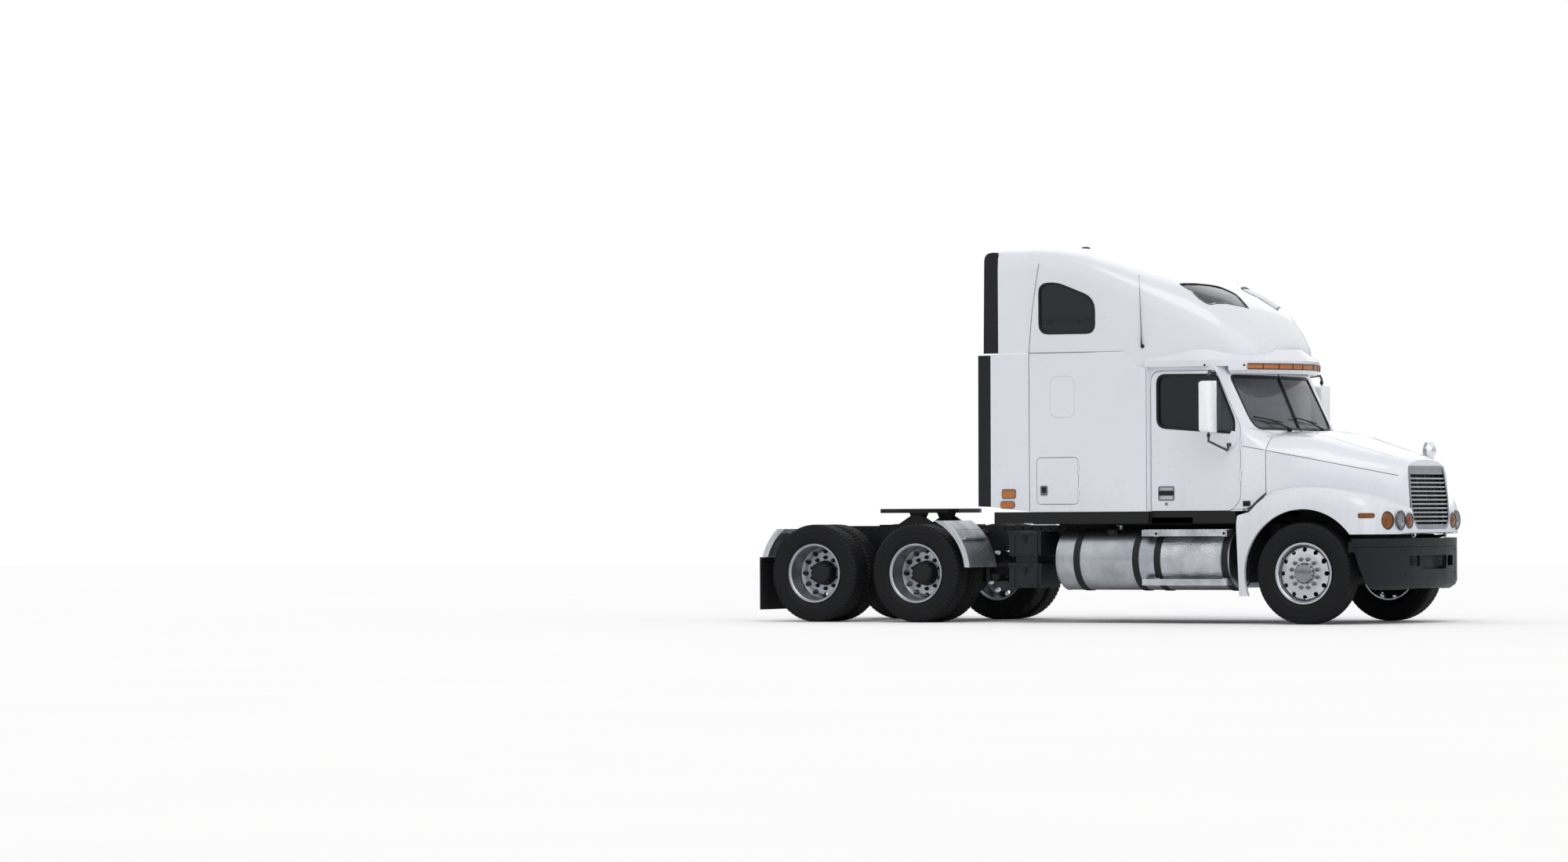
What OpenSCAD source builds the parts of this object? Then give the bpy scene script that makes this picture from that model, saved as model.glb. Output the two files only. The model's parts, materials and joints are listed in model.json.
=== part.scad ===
// Conventional three-axle road tractor with a short sleeper and raised roof.
// Millimetres, X forward, Y to the left, Z up, ground at Z 0.
// Stations are measured from the middle of the two drive axles, then shifted
// so that the middle of the whole vehicle lies on X 0.

/* [Running gear] */
// Steer axle ahead of the middle of the drive axles
wheel_base = 5163; // [4900:1:5800]
// Distance between the two drive axles
tandem_gap = 1250; // [1220:1:1360]
// Outside diameter of every tyre
tyre_d = 1050; // [1010:1:1080]
// Section width of every tyre
tyre_w = 276; // [250:1:290]
// Rim flange diameter
rim_d = 637; // [610:1:640]
// Middle of the front tyre from the centre plane
front_track_half = 1060; // [1030:1:1090]
// Middle of each pair of rear tyres from the centre plane
dual_track_half = 927; // [900:1:940]
// Distance between the middles of two paired tyres
dual_gap = 318; // [305:1:330]
// Kingpin from the centre plane
kingpin_half = 890; // [870:1:900]
// Number of hand holes in each wheel disc
hand_holes = 12; // [8:1:12]
// Diameter of a front hand hole
front_hole_d = 48; // [40:1:60]
// Diameter of a rear hand hole
rear_hole_d = 58; // [40:1:70]
// Diameter of the front wheel spindle
spindle_d = 80; // [60:1:90]
// Diameter of the rear wheel spindle
rear_spindle_d = 110; // [90:1:130]
// Radial running clearance of pins and spindles
run_gap = 0.08; // [0.05:0.01:0.1]
// Kingpin diameter in the steer axle
axle_pin_d = 46; // [40:1:54]

/* [Frame] */
// Height of the top of the frame rails
rail_top = 1030; // [980:1:1060]
// Height of the rail section
rail_h = 270; // [240:1:300]
// Width of the rail flange
rail_flange = 90; // [80:1:100]
// Web and flange thickness
rail_t = 9; // [7:1:12]
// Outside of the rails from the centre plane
rail_half = 432; // [420:1:440]
// Rear end of the rails behind the drive axle middle
rail_tail = 1190; // [1150:1:1260]
// Diameter of the fuel tanks
tank_d = 640; // [600:1:660]
// Length of the fuel tanks
tank_len = 2030; // [1900:1:2040]

/* [Cab] */
// Cab side surface from the centre plane
cab_half = 1140; // [1120:1:1150]
// Sleeper side surface from the centre plane
sleeper_half = 1200; // [1190:1:1230]
// Height of the underside of the cab and the doors
sill_z = 1172; // [1165:1:1180]
// Height of the seam between the sleeper and the roof cap
cap_z = 2850; // [2830:1:2900]
// Height of the seam between the cab and the roof cap
header_z = 2680; // [2675:1:2690]
// Top of the roof at the back
roof_z = 3995; // [3900:1:4060]
// Length of the sleeper box
sleeper_len = 1400; // [1300:1:1500]
// Length of a cab door
door_len = 1038; // [1000:1:1060]
// Thickness of a cab door
door_t = 58; // [50:1:66]
// Thickness of the cab, sleeper and roof panels
wall_t = 42; // [36:1:50]
// Gap round every door and lid
door_gap = 6; // [6:1:8]

/* [Hood] */
// Front face of the bumper ahead of the steer axle
bumper_ahead = 947; // [920:1:1000]
// Thickness of the hood and fender skin
hood_t = 30; // [24:1:36]
// Radius of the wheel arch
arch_r = 662; // [650:1:680]
// Outside of the fenders from the centre plane
fender_half = 1200; // [1195:1:1215]

/* [Coupling] */
// Fifth wheel pivot ahead of the drive axle middle
coupler_x = 180; // [0:1:300]
// Height of the top of the fifth wheel plate
coupler_z = 1215; // [1190:1:1240]
// Diameter of the trailer pin that the jaws hold
pin_d = 50.8; // [50.8:0.1:50.8]

/* [Hidden] */
$fn = 64;
rail_end = wheel_base + 640;
bumper_x = wheel_base + bumper_ahead;
flap_x = -1285;
shift_x = -(bumper_x + flap_x) / 2;
wheel_z = tyre_d / 2;
sx = wheel_base;
hood_x = sx - 458;
door_x = sx - 721;
door_back = door_x - door_len;
sleeper_front = door_back - 4;
sleeper_back = sleeper_front - sleeper_len;
rail_bottom = rail_top - rail_h;
spring_y = rail_half + 38;
tilt_x = sx + 892;
tilt_z = 910;
tilt_pin_d = 22;
tow_x = rail_end + 40;
tow_y = rail_half - 140;
tow_z = rail_bottom + 60;
tow_d = 34;
hinge_pin_d = 7;
hinge_d = 15;
hinge_h = 130;
dual_out = dual_track_half + dual_gap / 2;
dual_in = dual_track_half - dual_gap / 2;
tank_y = 880;
tank_z = 668;
tank_x = sx - 843;
tank_back = tank_x - tank_len;
box_x1 = tank_back - 182;
box_x0 = box_x1 - 378;

// Moves a node from the axle frame to the shared frame
module placed() {
    translate([shift_x, 0, 0]) children();
}

// Both sides from one
module both() {
    children();
    mirror([0, 1, 0]) children();
}

// Round bar between two points
module bar(a, b, d) {
    v = b - a;
    l = norm(v);
    translate(a)
        rotate([0, acos(v[2] / l), atan2(v[1], v[0])])
            cylinder(d = d, h = l);
}

// Box from its two corners
module block(a, b) {
    translate(a) cube(b - a);
}

// Door hinge on the frame side, axis at the origin, frame towards plus X
module hinge_post() {
    cylinder(d = hinge_pin_d, h = hinge_h, $fn = 32);
    for (z = [0, hinge_h - 36])
        translate([0, 0, z]) {
            cylinder(d = hinge_d, h = 36, $fn = 32);
            translate([0, -hinge_d / 2, 0]) cube([22, hinge_d / 2, 36]);
        }
}

// Door hinge on the door side, with the bore for the post
module hinge_leaf() {
    difference() {
        translate([0, 0, 36.4]) {
            cylinder(d = hinge_d, h = hinge_h - 72.8, $fn = 32);
            translate([-22, -hinge_d / 2, 0]) cube([22, hinge_d / 2, hinge_h - 72.8]);
        }
        cylinder(d = hinge_pin_d + 2 * run_gap, h = hinge_h, $fn = 32);
    }
}

// Room for the leaf, cut from the frame side
module leaf_room() {
    translate([0, 0, 35.4]) cylinder(d = hinge_d + 8, h = hinge_h - 70.8, $fn = 32);
}

// Room for the post, cut from the door side
module post_room() {
    for (z = [-1, hinge_h - 37])
        translate([0, 0, z]) cylinder(d = hinge_d + 8, h = 38, $fn = 32);
    translate([0, 0, 30]) cylinder(d = hinge_pin_d + 2 * run_gap, h = hinge_h - 60, $fn = 32);
}

// Places its children at each hinge of the left cab door
module door_hinges() {
    for (z = [1480, 1800])
        translate([door_x - door_gap / 2, cab_half, z]) children();
}

// Places its children at each hinge of the left baggage door
module bag_hinges() {
    for (z = [bag_z0 + 50, bag_z1 - 50 - hinge_h])
        translate([bag_x1 - door_gap / 2, sleeper_half, z]) children();
}

// Plate in the side view: polygon of X and Z, from y0 to y1
module side_plate(pts, y0, y1) {
    translate([0, y1, 0])
        rotate([90, 0, 0])
            linear_extrude(height = y1 - y0) polygon(pts);
}

// Plate seen from the front: polygon of Y and Z, from x0 to x1
module face_plate(pts, x0, x1) {
    translate([x0, 0, 0]) rotate([90, 0, 90]) linear_extrude(height = x1 - x0) polygon(pts);
}

// Outline with each corner rounded off over the length given for it
function soft(pts, r) = [
    for (i = [0 : len(pts) - 1])
        let (
            v = pts[i],
            a = pts[(i + len(pts) - 1) % len(pts)] - v,
            b = pts[(i + 1) % len(pts)] - v,
            k = is_list(r) ? r[i] : r,
            p = v + a * k / norm(a),
            q = v + b * k / norm(b)
        )
            for (t = k > 0 ? [0 : 0.25 : 1] : [0]) p * (1 - t) * (1 - t) + v * 2 * t * (1 - t) + q * t * t
];

// Closed skin through rings with equal point counts, capped at both ends
module skin(rings) {
    n = len(rings[0]);
    m = len(rings);
    pts = [for (r = rings) for (p = r) p];
    sides = [
        for (j = [0 : m - 2])
            for (i = [0 : n - 1])
                for (t = [0, 1])
                    let (k = (i + 1) % n)
                        t == 0
                            ? [j * n + i, (j + 1) * n + k, j * n + k]
                            : [j * n + i, (j + 1) * n + i, (j + 1) * n + k]
    ];
    polyhedron(
        points = pts,
        faces = concat(
            [[for (i = [0 : n - 1]) i]],
            sides,
            [[for (i = [n - 1 : -1 : 0]) (m - 1) * n + i]]
        ),
        convexity = 10
    );
}

// Mirrors a half outline from its lowest outer point over the top
function full(half) = concat(
    [for (p = half) p],
    [for (i = [len(half) - 1 : -1 : 0]) if (half[i][1] > 0.01) [half[i][0], -half[i][1], half[i][2]]]
);

// Half outline of the roof: side, rounded shoulder, crown
function roof_half(x, w, zb, zs, zt, n) = concat(
    [[x, w, zb]],
    [for (t = [0 : 11.25 : 90]) [x, w * pow(cos(t), 2 / n), zs + (zt - zs) * pow(sin(t), 2 / n)]]
);

// Roof stations: X from the steer axle, half width, top, shoulder depth, squareness
roof_stations = [
    [sleeper_back - sx, sleeper_half, roof_z, 260, 5],
    [-2860, sleeper_half, roof_z - 15, 270, 5],
    [-2560, sleeper_half, roof_z - 70, 290, 4.6],
    [-2260, sleeper_half - 4, roof_z - 160, 320, 4.2],
    [-1960, sleeper_half - 20, roof_z - 258, 350, 3.8],
    [-1660, sleeper_half - 62, roof_z - 352, 390, 3.4],
    [-1400, sleeper_half - 122, roof_z - 440, 420, 3.2],
    [-1180, sleeper_half - 196, roof_z - 548, 430, 3],
    [-1000, sleeper_half - 282, roof_z - 678, 400, 2.8],
    [-860, sleeper_half - 386, roof_z - 822, 330, 2.6],
    [-760, sleeper_half - 510, roof_z - 960, 230, 2.5],
    [-690, sleeper_half - 700, roof_z - 1090, 120, 2.4]
];

// Roof volume, made smaller all round by d
module roof_volume(d) {
    m = len(roof_stations);
    skin([
        for (i = [0 : m - 1])
            let (
                s = roof_stations[i],
                x = sx + s[0] + (i == 0 ? d : 0) - (i == m - 1 ? d : 0),
                zt = s[2] - d,
                zs = min(s[2] - s[3], zt - 20)
            )
                full(roof_half(x, s[1] - d, header_z - (d > 0 ? 60 : 0), zs, zt, s[4]))
    ]);
}

// Half section of the roof at the back as Y and Z, pulled in by d
function roof_section(d) = let (s = roof_stations[0])
    concat(
        [for (p = roof_half(0, s[1] - d, cap_z - d, s[2] - s[3], s[2] - d, s[4])) [p[1], p[2]]],
        [[0, cap_z - d]]
    );

// Half plan of the visor and the ledge over the doors
visor_plan = [
    [sleeper_front - sx - 40, sleeper_half - 6], [-1560, sleeper_half - 8], [-1300, sleeper_half - 12],
    [-1150, sleeper_half - 26], [-1040, sleeper_half - 70], [-910, sleeper_half - 200],
    [-774, sleeper_half - 350], [-670, sleeper_half - 500], [-580, sleeper_half - 700],
    [-515, sleeper_half - 900], [-480, 130]
];

// One level of the visor, pulled in by d
function visor_ring(z, d) = full([
    for (i = [0 : len(visor_plan) - 1])
        let (p = visor_plan[i])
            [sx + p[0] - (i == 0 ? 0 : d * 0.8), p[1] - min(d, p[1] * 0.35), z]
]);

// Windshield surface: share of the cab half width, X at the base, X at the top, both from the steer axle
glass_stations = [
    [0, -563, -823], [0.21, -566, -828], [0.417, -578, -843], [0.614, -594, -872],
    [0.746, -614, -908], [0.833, -634, -938], [0.895, -660, -958], [0.943, -688, -976]
];
glass_low = 2000;
glass_high = 2600;
glass_reach = 0.833;
function glass_x(s, z) = sx + s[1] + (s[2] - s[1]) * (z - glass_low) / (glass_high - glass_low);

// Wall that follows the windshield, from t0 to t1 behind its surface
module front_wall(t0, t1, z0, z1, reach) {
    n = len(glass_stations);
    list = concat(
        [for (i = [n - 1 : -1 : 1]) if (glass_stations[i][0] <= reach) [-glass_stations[i][0], i]],
        [for (i = [0 : n - 1]) if (glass_stations[i][0] <= reach) [glass_stations[i][0], i]]
    );
    skin([
        for (e = list)
            let (s = glass_stations[e[1]], y = e[0] * cab_half)
                [
                    [glass_x(s, z0) - t0, y, z0],
                    [glass_x(s, z0) - t1, y, z0],
                    [glass_x(s, z1) - t1, y, z1],
                    [glass_x(s, z1) - t0, y, z1]
                ]
    ]);
}

// Front edge of the door at height Z
function seam_x(z) = z < 2054 ? door_x : z < 2588 ? door_x - (z - 2054) * 0.48 : door_x - 256 - (z - 2588) * 0.6;

// Windshield pillar that turns from the front wall back to the door seam
module pillar() {
    s = glass_stations[len(glass_stations) - 1];
    lip = cab_half - door_t - 8;
    skin([
        for (z = [1960, 2054, 2588, header_z])
            let (x = glass_x(s, z), e = seam_x(z))
                [
                    [x - 60, lip - 46, z], [x + 4, lip - 46, z], [x + 2, lip + 3, z],
                    [x * 0.45 + e * 0.55, lip * 0.3 + cab_half * 0.7, z], [e + 1, cab_half - 0.5, z],
                    [e - 14, cab_half - 0.5, z], [e - 14, lip + 4, z], [x - 60, lip - 4, z]
                ]
    ]);
}

// Cowl side that turns from the door seam to the section of the hood, at X from the steer axle
function cowl_ring(x) = let (
    s = max(0, (x + 721) / 255),
    w = cab_half - 48 * s,
    span = 80 + 252 * s,
    zs = 2030 - 254 * pow(s, 0.7),
    ze = 2052 - 80 * s,
    zb = lookup(x, [[-721, 1196], [-690, 1198], [-626, 1214], [-540, 1298], [-466, 1360]])
) [
    [sx + x, w, zb],
    for (t = [0 : 15 : 90])
        [sx + x, w - span * (1 - pow(cos(t), 1.18)), zs + (ze - zs) * pow(sin(t), 1.18)],
    [sx + x, w - span, ze - 44],
    [sx + x, w - span / 2 - 30, min(zs * 0.55 + ze * 0.45, ze - 60)],
    [sx + x, w - 60, zs - 40],
    [sx + x, w - 60, zb]
];

// Outline of one windshield pane in Y and Z
function screen_outline(g) = soft([
    [14 + g, glass_low + 30 + g], [glass_reach * cab_half + 6 - g, glass_low + 30 + g],
    [glass_reach * cab_half + 2 - g, glass_high - 22 - g], [14 + g, glass_high - 22 - g]
], [0, 130, 60, 0]);

// Hood centre stations: X, side and shoulder inside the cab side, crease, shoulder and top height
hood_stations = [
    [-458, 48, 1800, 235, 1950, 2008],
    [-200, 100, 1757, 272, 1938, 2006],
    [20, 156, 1722, 325, 1896, 1966],
    [258, 235, 1676, 405, 1826, 1886],
    [480, 340, 1636, 500, 1768, 1822],
    [680, 464, 1596, 600, 1712, 1768],
    [800, 556, 1566, 676, 1672, 1726],
    [866, 620, 1544, 726, 1640, 1688],
    [900, 660, 1524, 756, 1610, 1654]
];

// Hood centre volume, pulled in by d
module hood_centre(d) {
    m = len(hood_stations);
    skin([
        for (i = [0 : m - 1])
            let (
                s = hood_stations[i],
                w = cab_half - s[1],
                k = cab_half - s[3],
                x = sx + s[0] - (i == m - 1 ? d : 0) - (i == 0 && d > 0 ? 60 : 0),
                zb = d > 0 ? 700 : 980
            )
                full([
                    [x, w - d - 20, zb],
                    [x, w - d, s[2] - d - 180],
                    [x, w - d - 6, s[2] - d],
                    [x, w - d - 40, s[2] - d + 44],
                    [x, w * 0.45 + k * 0.55 - d, s[2] * 0.45 + s[4] * 0.55 - d + 16],
                    [x, k - d + 14, s[4] - d - 14],
                    [x, k - d - 30, s[4] - d + 6],
                    [x, k * 0.72 - d, s[4] * 0.5 + s[5] * 0.5 - d],
                    [x, k * 0.4, s[5] - d - 6],
                    [x, 0, s[5] - d]
                ])
    ]);
}

// Leaning plane of the nose, moved back by d
nose_lean = 5.54;
function nose_x(z) = sx + 917 - (z - 1000) * tan(nose_lean);

module nose_cut(d) {
    side_plate([
        [nose_x(980) - d, 980], [sx + 1300, 980], [sx + 1300, 2000], [nose_x(2000) - d, 2000]
    ], -1300, 1300);
}

// Places its children on the nose plane, Z along the lean
module on_nose() {
    translate([nose_x(1000), 0, 1000]) rotate([0, -nose_lean, 0]) children();
}

// Grille outline in Y and Z on the nose plane, pulled in by g
function grille_outline(g) = let (h = [[376, -26], [468, 60], [494, 300], [462, 540], [440, 632]])
    soft(concat(
        [for (p = h) [p[0] - g, p[1] + (p == h[0] ? g : p == h[4] ? -g : 0)]],
        [for (i = [4 : -1 : 0]) let (p = h[i]) [-p[0] + g, p[1] + (i == 0 ? g : i == 4 ? -g : 0)]]
    ), [46, 46, 70, 36, 16, 16, 36, 70, 46, 46]);

// Fender stations: X, half width, top height
fender_stations = [
    [-775, fender_half - 6, 1160], [-700, fender_half, 1176], [-626, fender_half, 1196],
    [-540, fender_half, 1280], [-451, fender_half, 1346], [-330, fender_half, 1388],
    [-170, fender_half, 1414], [20, fender_half, 1420], [230, fender_half, 1404],
    [420, fender_half, 1372], [560, fender_half - 4, 1338], [640, fender_half - 18, 1316],
    [700, fender_half - 56, 1296], [748, fender_half - 132, 1276], [796, fender_half - 240, 1252],
    [846, fender_half - 370, 1226], [884, fender_half - 484, 1204], [910, fender_half - 620, 1184],
    [922, fender_half - 760, 1170]
];

// Fender volume over both sides, pulled in by d
module fender_volume(d) {
    m = len(fender_stations);
    skin([
        for (i = [0 : m - 1])
            let (
                s = fender_stations[i],
                x = sx + s[0] - d * max(0, s[0] - 640) / 282 - (i == 0 && d > 0 ? 60 : 0),
                zb = d > 0 ? 100 : 290
            )
                full([
                    [x, s[1] - d, zb],
                    [x, s[1] - d, s[2] - 170],
                    [x, s[1] - d - 10, s[2] - d * 0.6 - 102],
                    [x, s[1] - d - 34, s[2] - d * 0.8 - 48],
                    [x, s[1] - d - 74, s[2] - d - 14],
                    [x, s[1] - d - 130, s[2] - d],
                    [x, min(300, s[1] - d - 190), s[2] - d + 10],
                    [x, 0, s[2] - d + 10]
                ])
    ]);
}

// Bumper plan: half outline from the side to the middle, X from the steer axle
bumper_plan = [
    [520, fender_half], [620, fender_half - 8], [682, fender_half - 46], [740, fender_half - 134],
    [798, fender_half - 268], [868, fender_half - 470], [922, fender_half - 690],
    [bumper_ahead, 300], [bumper_ahead, 0]
];

// One level of the bumper, pulled in by d
function bumper_ring(z, d) = full([for (p = bumper_plan) [sx + p[0] - d, p[1] > 0 ? p[1] - d : 0, z]]);
function plan_full(d) = [for (p = bumper_ring(0, d)) [p[0], p[1]]];

// Door outline in X and Z
function door_outline(g) = soft([
    [door_back + g, sill_z + g], [door_x - 110, sill_z + g], [door_x - g, sill_z + 110 + g],
    [door_x - g, 2052], [door_x - 284 - g, 2640 - g], [door_back + g, 2640 - g]
], [0, 50, 66, 40, 56, 120]);

// Window opening of the door
function pane_outline(g) = soft([
    [door_back + 82 + g, 2054 + g], [door_x - 76 - g, 1984 + g], [door_x - 76 - g, 2116],
    [door_x - 278 - g, 2584 - g], [door_back + 82 + g, 2592 - g]
], [90, 46, 40, 40, 90]);

// Upper sleeper window
function loft_outline(g) = soft([
    [sleeper_back + 136 + g, 3060 + g], [sleeper_back + 776 - g, 3056 + g],
    [sleeper_back + 776 - g, 3410 - g], [sleeper_back + 340, 3580 - g], [sleeper_back + 136 + g, 3574 - g]
], [100, 90, 130, 84, 90]);

// Skylight outline in plan
function sky_outline(g) = let (c = [sx - 1277, 567])
    soft([
        for (p = [[-1557, 830], [-1368, 251], [-1246, 200], [-1003, 356], [-1200, 868], [-1288, 895]])
            let (q = [sx + p[0], p[1]]) q + (c - q) * g / 300
    ], [16, 40, 56, 16, 34, 44]);

// Baggage door outline
bag_x0 = sleeper_back + 88;
bag_x1 = bag_x0 + 498;
bag_z0 = 1250;
bag_z1 = 1748;

// Groove of the bare hatch in the sleeper side
function hatch_outline(g) = rounded_box(
    sleeper_back + 249 + g, 2163 + g, sleeper_back + 546 - g, 2605 - g, 70 - g
);

function rounded_box(x0, z0, x1, z1, r) = soft([[x0, z0], [x1, z0], [x1, z1], [x0, z1]], r * 1.4);

// Two channel rails with cross members and the front tow pins
module frame() {
    color("#1c1d1f") placed() {
        both() {
            difference() {
                block([-rail_tail, rail_half - rail_flange, rail_bottom], [rail_end, rail_half, rail_top]);
                block(
                    [-rail_tail - 1, rail_half - rail_flange - 1, rail_bottom + rail_t],
                    [rail_end + 1, rail_half - rail_t, rail_top - rail_t]
                );
            }
        }
        for (x = [-rail_tail, -tandem_gap / 2 - 190, 0, tandem_gap / 2 + 330, 1700, 2600, 3500])
            block([x, -rail_half + rail_t, rail_bottom + 30], [x + 60, rail_half - rail_t, rail_top - 30]);
        block(
            [rail_end - 50, -rail_half + rail_t, rail_bottom + 10],
            [rail_end, rail_half - rail_t, rail_top - 10]
        );
        both() {
            side_plate([
                [rail_end - 30, rail_bottom + 130], [tilt_x - 90, tilt_z - 38], [tilt_x + 6, tilt_z - 14],
                [tilt_x + 14, tilt_z], [tilt_x + 6, tilt_z + 11], [tilt_x - 100, tilt_z + 2],
                [rail_end - 30, rail_top - 30]
            ], rail_half - 70, rail_half - 50);
            translate([tilt_x, rail_half - 60, tilt_z]) rotate([-90, 0, 0]) cylinder(d = tilt_pin_d, h = 46);
        }
        both()
            difference() {
                block([rail_end - 60, tow_y - 55, tow_z - 20], [rail_end + 84, tow_y + 55, tow_z + 20]);
                translate([tow_x, tow_y, tow_z - 21]) cylinder(d = tow_d, h = 42);
            }
    }
}

// Forged steer axle beam with an eye for each kingpin
module steer_axle() {
    color("#202224") placed() {
        block([sx - 45, -rail_half - 110, wheel_z - 130], [sx + 45, rail_half + 110, wheel_z - 40]);
        both() {
            difference() {
                union() {
                    side = rail_half + 110;
                    side_len = kingpin_half - side;
                    translate([sx - 40, side, 0])
                        rotate([90, 0, 90])
                            linear_extrude(height = 80)
                                polygon([
                                    [0, wheel_z - 130], [side_len - 64, wheel_z - 59], [side_len, wheel_z - 59],
                                    [side_len, wheel_z + 58], [side_len - 60, wheel_z + 58], [0, wheel_z - 40]
                                ]);
                    translate([sx, kingpin_half, wheel_z - 59.7]) cylinder(d = 104, h = 119.4);
                }
                translate([sx, kingpin_half, wheel_z - 90])
                    cylinder(d = axle_pin_d + 2 * run_gap, h = 180);
            }
        }
    }
}

// Two drive axle housings with their differentials and spindles
module drive_axles() {
    color("#1d1f21") placed()
        for (x = [-tandem_gap / 2, tandem_gap / 2])
            translate([x, 0, wheel_z]) {
                rotate([90, 0, 0]) cylinder(d = 150, h = 2 * dual_in - 40, center = true);
                rotate([90, 0, 0]) cylinder(d = rear_spindle_d, h = 2 * dual_track_half + 228, center = true);
                rotate([90, 0, 0]) cylinder(d = 460, h = 150, center = true);
                rotate([90, 0, 0]) cylinder(d = 330, h = 260, center = true);
                rotate([0, 90, 0]) cylinder(d = 190, h = 330);
            }
}

// Leaf springs, hangers and air springs
module springs() {
    color("#17181a") placed() both() {
        for (k = [0 : 2])
            block(
                [sx - 720 + 150 * k, spring_y - 37.7, wheel_z - 39.7 + 22 * k],
                [sx + 620 - 150 * k, spring_y + 38, wheel_z - 17 + 22 * k]
            );
        block([sx - 720, rail_half + 0.3, wheel_z - 17], [sx - 640, spring_y + 38, rail_bottom + 120]);
        block([sx + 540, rail_half + 0.3, wheel_z - 17], [sx + 620, spring_y + 38, rail_bottom + 120]);
        for (x = [-tandem_gap / 2, tandem_gap / 2]) {
            block([x + 60, 400, wheel_z - 105], [x + 470, 480, wheel_z - 60]);
            block([x - 400, 400, wheel_z - 105], [x + 60, 480, wheel_z - 75.3]);
            block([x + 400, 400, wheel_z - 60], [x + 470, 480, rail_bottom - 0.3]);
            translate([x - 290, 440, wheel_z - 75.3]) cylinder(d = 240, h = 40);
            translate([x - 290, 440, wheel_z - 35.3]) cylinder(d = 270, h = rail_bottom - wheel_z + 35);
        }
    }
}

// Engine as one plain block, with its radiator
module engine() {
    color("#4a4d50") placed() {
        block([sx - 430, -330, 700], [sx + 520, 330, 1560]);
        block([sx + 600, -440, rail_top + 0.3], [sx + 700, 440, 1500]);
    }
}

// Gearbox, propeller shaft and silencer
module driveline() {
    color("#3a3c3e") placed() {
        block([sx - 1180, -210, 640], [sx - 430.3, 210, 1120]);
        bar([sx - 1180.3, 0, 750], [tandem_gap / 2 + 334.5, 0, 555], 110);
        bar([tandem_gap / 2 - 230.3, 0, 525], [-tandem_gap / 2 + 330.3, 0, 525], 100);
    }
}

// Plastic bumper with its openings, leaning back below its front edge
module bumper() {
    color("#3b3d40") placed() {
        difference() {
            skin([bumper_ring(882, 0), bumper_ring(440, 0), bumper_ring(392, 14), bumper_ring(352, 58)]);
            translate([0, 0, 330]) linear_extrude(height = 600)
                polygon(concat(plan_full(92), [[sx + 400, -fender_half + 40], [sx + 400, fender_half - 40]]));
            translate([0, 0, 424]) linear_extrude(height = 500)
                polygon(concat(plan_full(34), [[sx + 400, -fender_half + 34], [sx + 400, fender_half - 34]]));
            side_plate([
                [sx + 300, 300], [sx + 700, 300], [sx + 705, 335], [sx + 536, 900], [sx + 300, 900]
            ], -1500, 1500);
            side_plate([
                [sx + 600, 300], [sx + 1100, 300], [sx + 1100, 390], [sx + 960, 380], [sx + 690, 330]
            ], -1500, 1500);
            face_plate(soft([[-313, 560], [313, 560], [313, 702], [-313, 702]], 16), sx + 700, sx + 1100);
            both()
                face_plate(soft([[350, 590], [560, 596], [556, 700], [350, 700]], 20), sx + 700, sx + 1100);
            block([sx + 400, -1300, 790], [sx + 1100, 1300, 796]);
        }
        intersection() {
            translate([0, 0, 700]) linear_extrude(height = 160) polygon(plan_full(8));
            side_plate([[sx + 500, 740], [sx + 1100, 740], [sx + 1100, 850], [sx + 500, 850]], -1190, 1190);
            difference() {
                translate([0, 0, 600]) linear_extrude(height = 300) polygon(plan_full(8));
                translate([0, 0, 590]) linear_extrude(height = 320)
                    polygon(concat(plan_full(36), [[sx + 400, -fender_half + 36], [sx + 400, fender_half - 36]]));
            }
        }
        both()
            for (b = [[70, 0], [30, 600]])
                intersection() {
                    block([sx + 700, b[1], 545], [sx + 1100, 640, 716]);
                    translate([0, 0, 500])
                        linear_extrude(height = 260)
                            difference() {
                                polygon(plan_full(b[0]));
                                polygon(concat(plan_full(88), [[sx + 400, -1000], [sx + 400, 1000]]));
                            }
                }
        both() block([rail_end + 0.3, rail_half - 46, 700], [sx + 880, rail_half - 4, 770]);
    }
}

// Round fuel tank on each side
module fuel_tanks() {
    color("#c9ccd0") placed() both() {
        translate([tank_back, tank_y, tank_z])
            rotate([0, 90, 0]) rotate_extrude(angle = 360, $fn = 96)
                polygon([
                    [0, 30], [tank_d / 2 - 70, 22], [tank_d / 2 - 52, 0], [tank_d / 2 - 20, 4],
                    [tank_d / 2 - 6, 16], [tank_d / 2, 36], [tank_d / 2, tank_len - 36],
                    [tank_d / 2 - 6, tank_len - 16], [tank_d / 2 - 20, tank_len - 4],
                    [tank_d / 2 - 52, tank_len], [tank_d / 2 - 70, tank_len - 22], [0, tank_len - 30]
                ]);
        translate([tank_back + 620, tank_y, tank_z + tank_d / 2 - 12]) cylinder(d = 84, h = 24);
        translate([tank_back + 620, tank_y, tank_z + tank_d / 2 + 12]) cylinder(d = 104, h = 26);
    }
}

strap_x = [tank_back + 265, tank_back + 955, tank_x - 824, tank_x - 44];

// Black straps and brackets that carry the tanks
module tank_straps() {
    color("#141516") placed() both()
        for (x = strap_x) {
            translate([x - 35, tank_y, tank_z])
                rotate([0, 90, 0])
                    difference() {
                        cylinder(d = tank_d + 16, h = 70, $fn = 96);
                        translate([0, 0, -1]) cylinder(d = tank_d + 0.6, h = 72, $fn = 96);
                    }
            difference() {
                block([x - 30, rail_half + 0.3, rail_bottom - 40], [x + 30, tank_y - 170, rail_top - 60]);
                translate([x - 40, tank_y, tank_z])
                    rotate([0, 90, 0]) cylinder(d = tank_d + 8, h = 80, $fn = 96);
            }
        }
}

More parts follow.
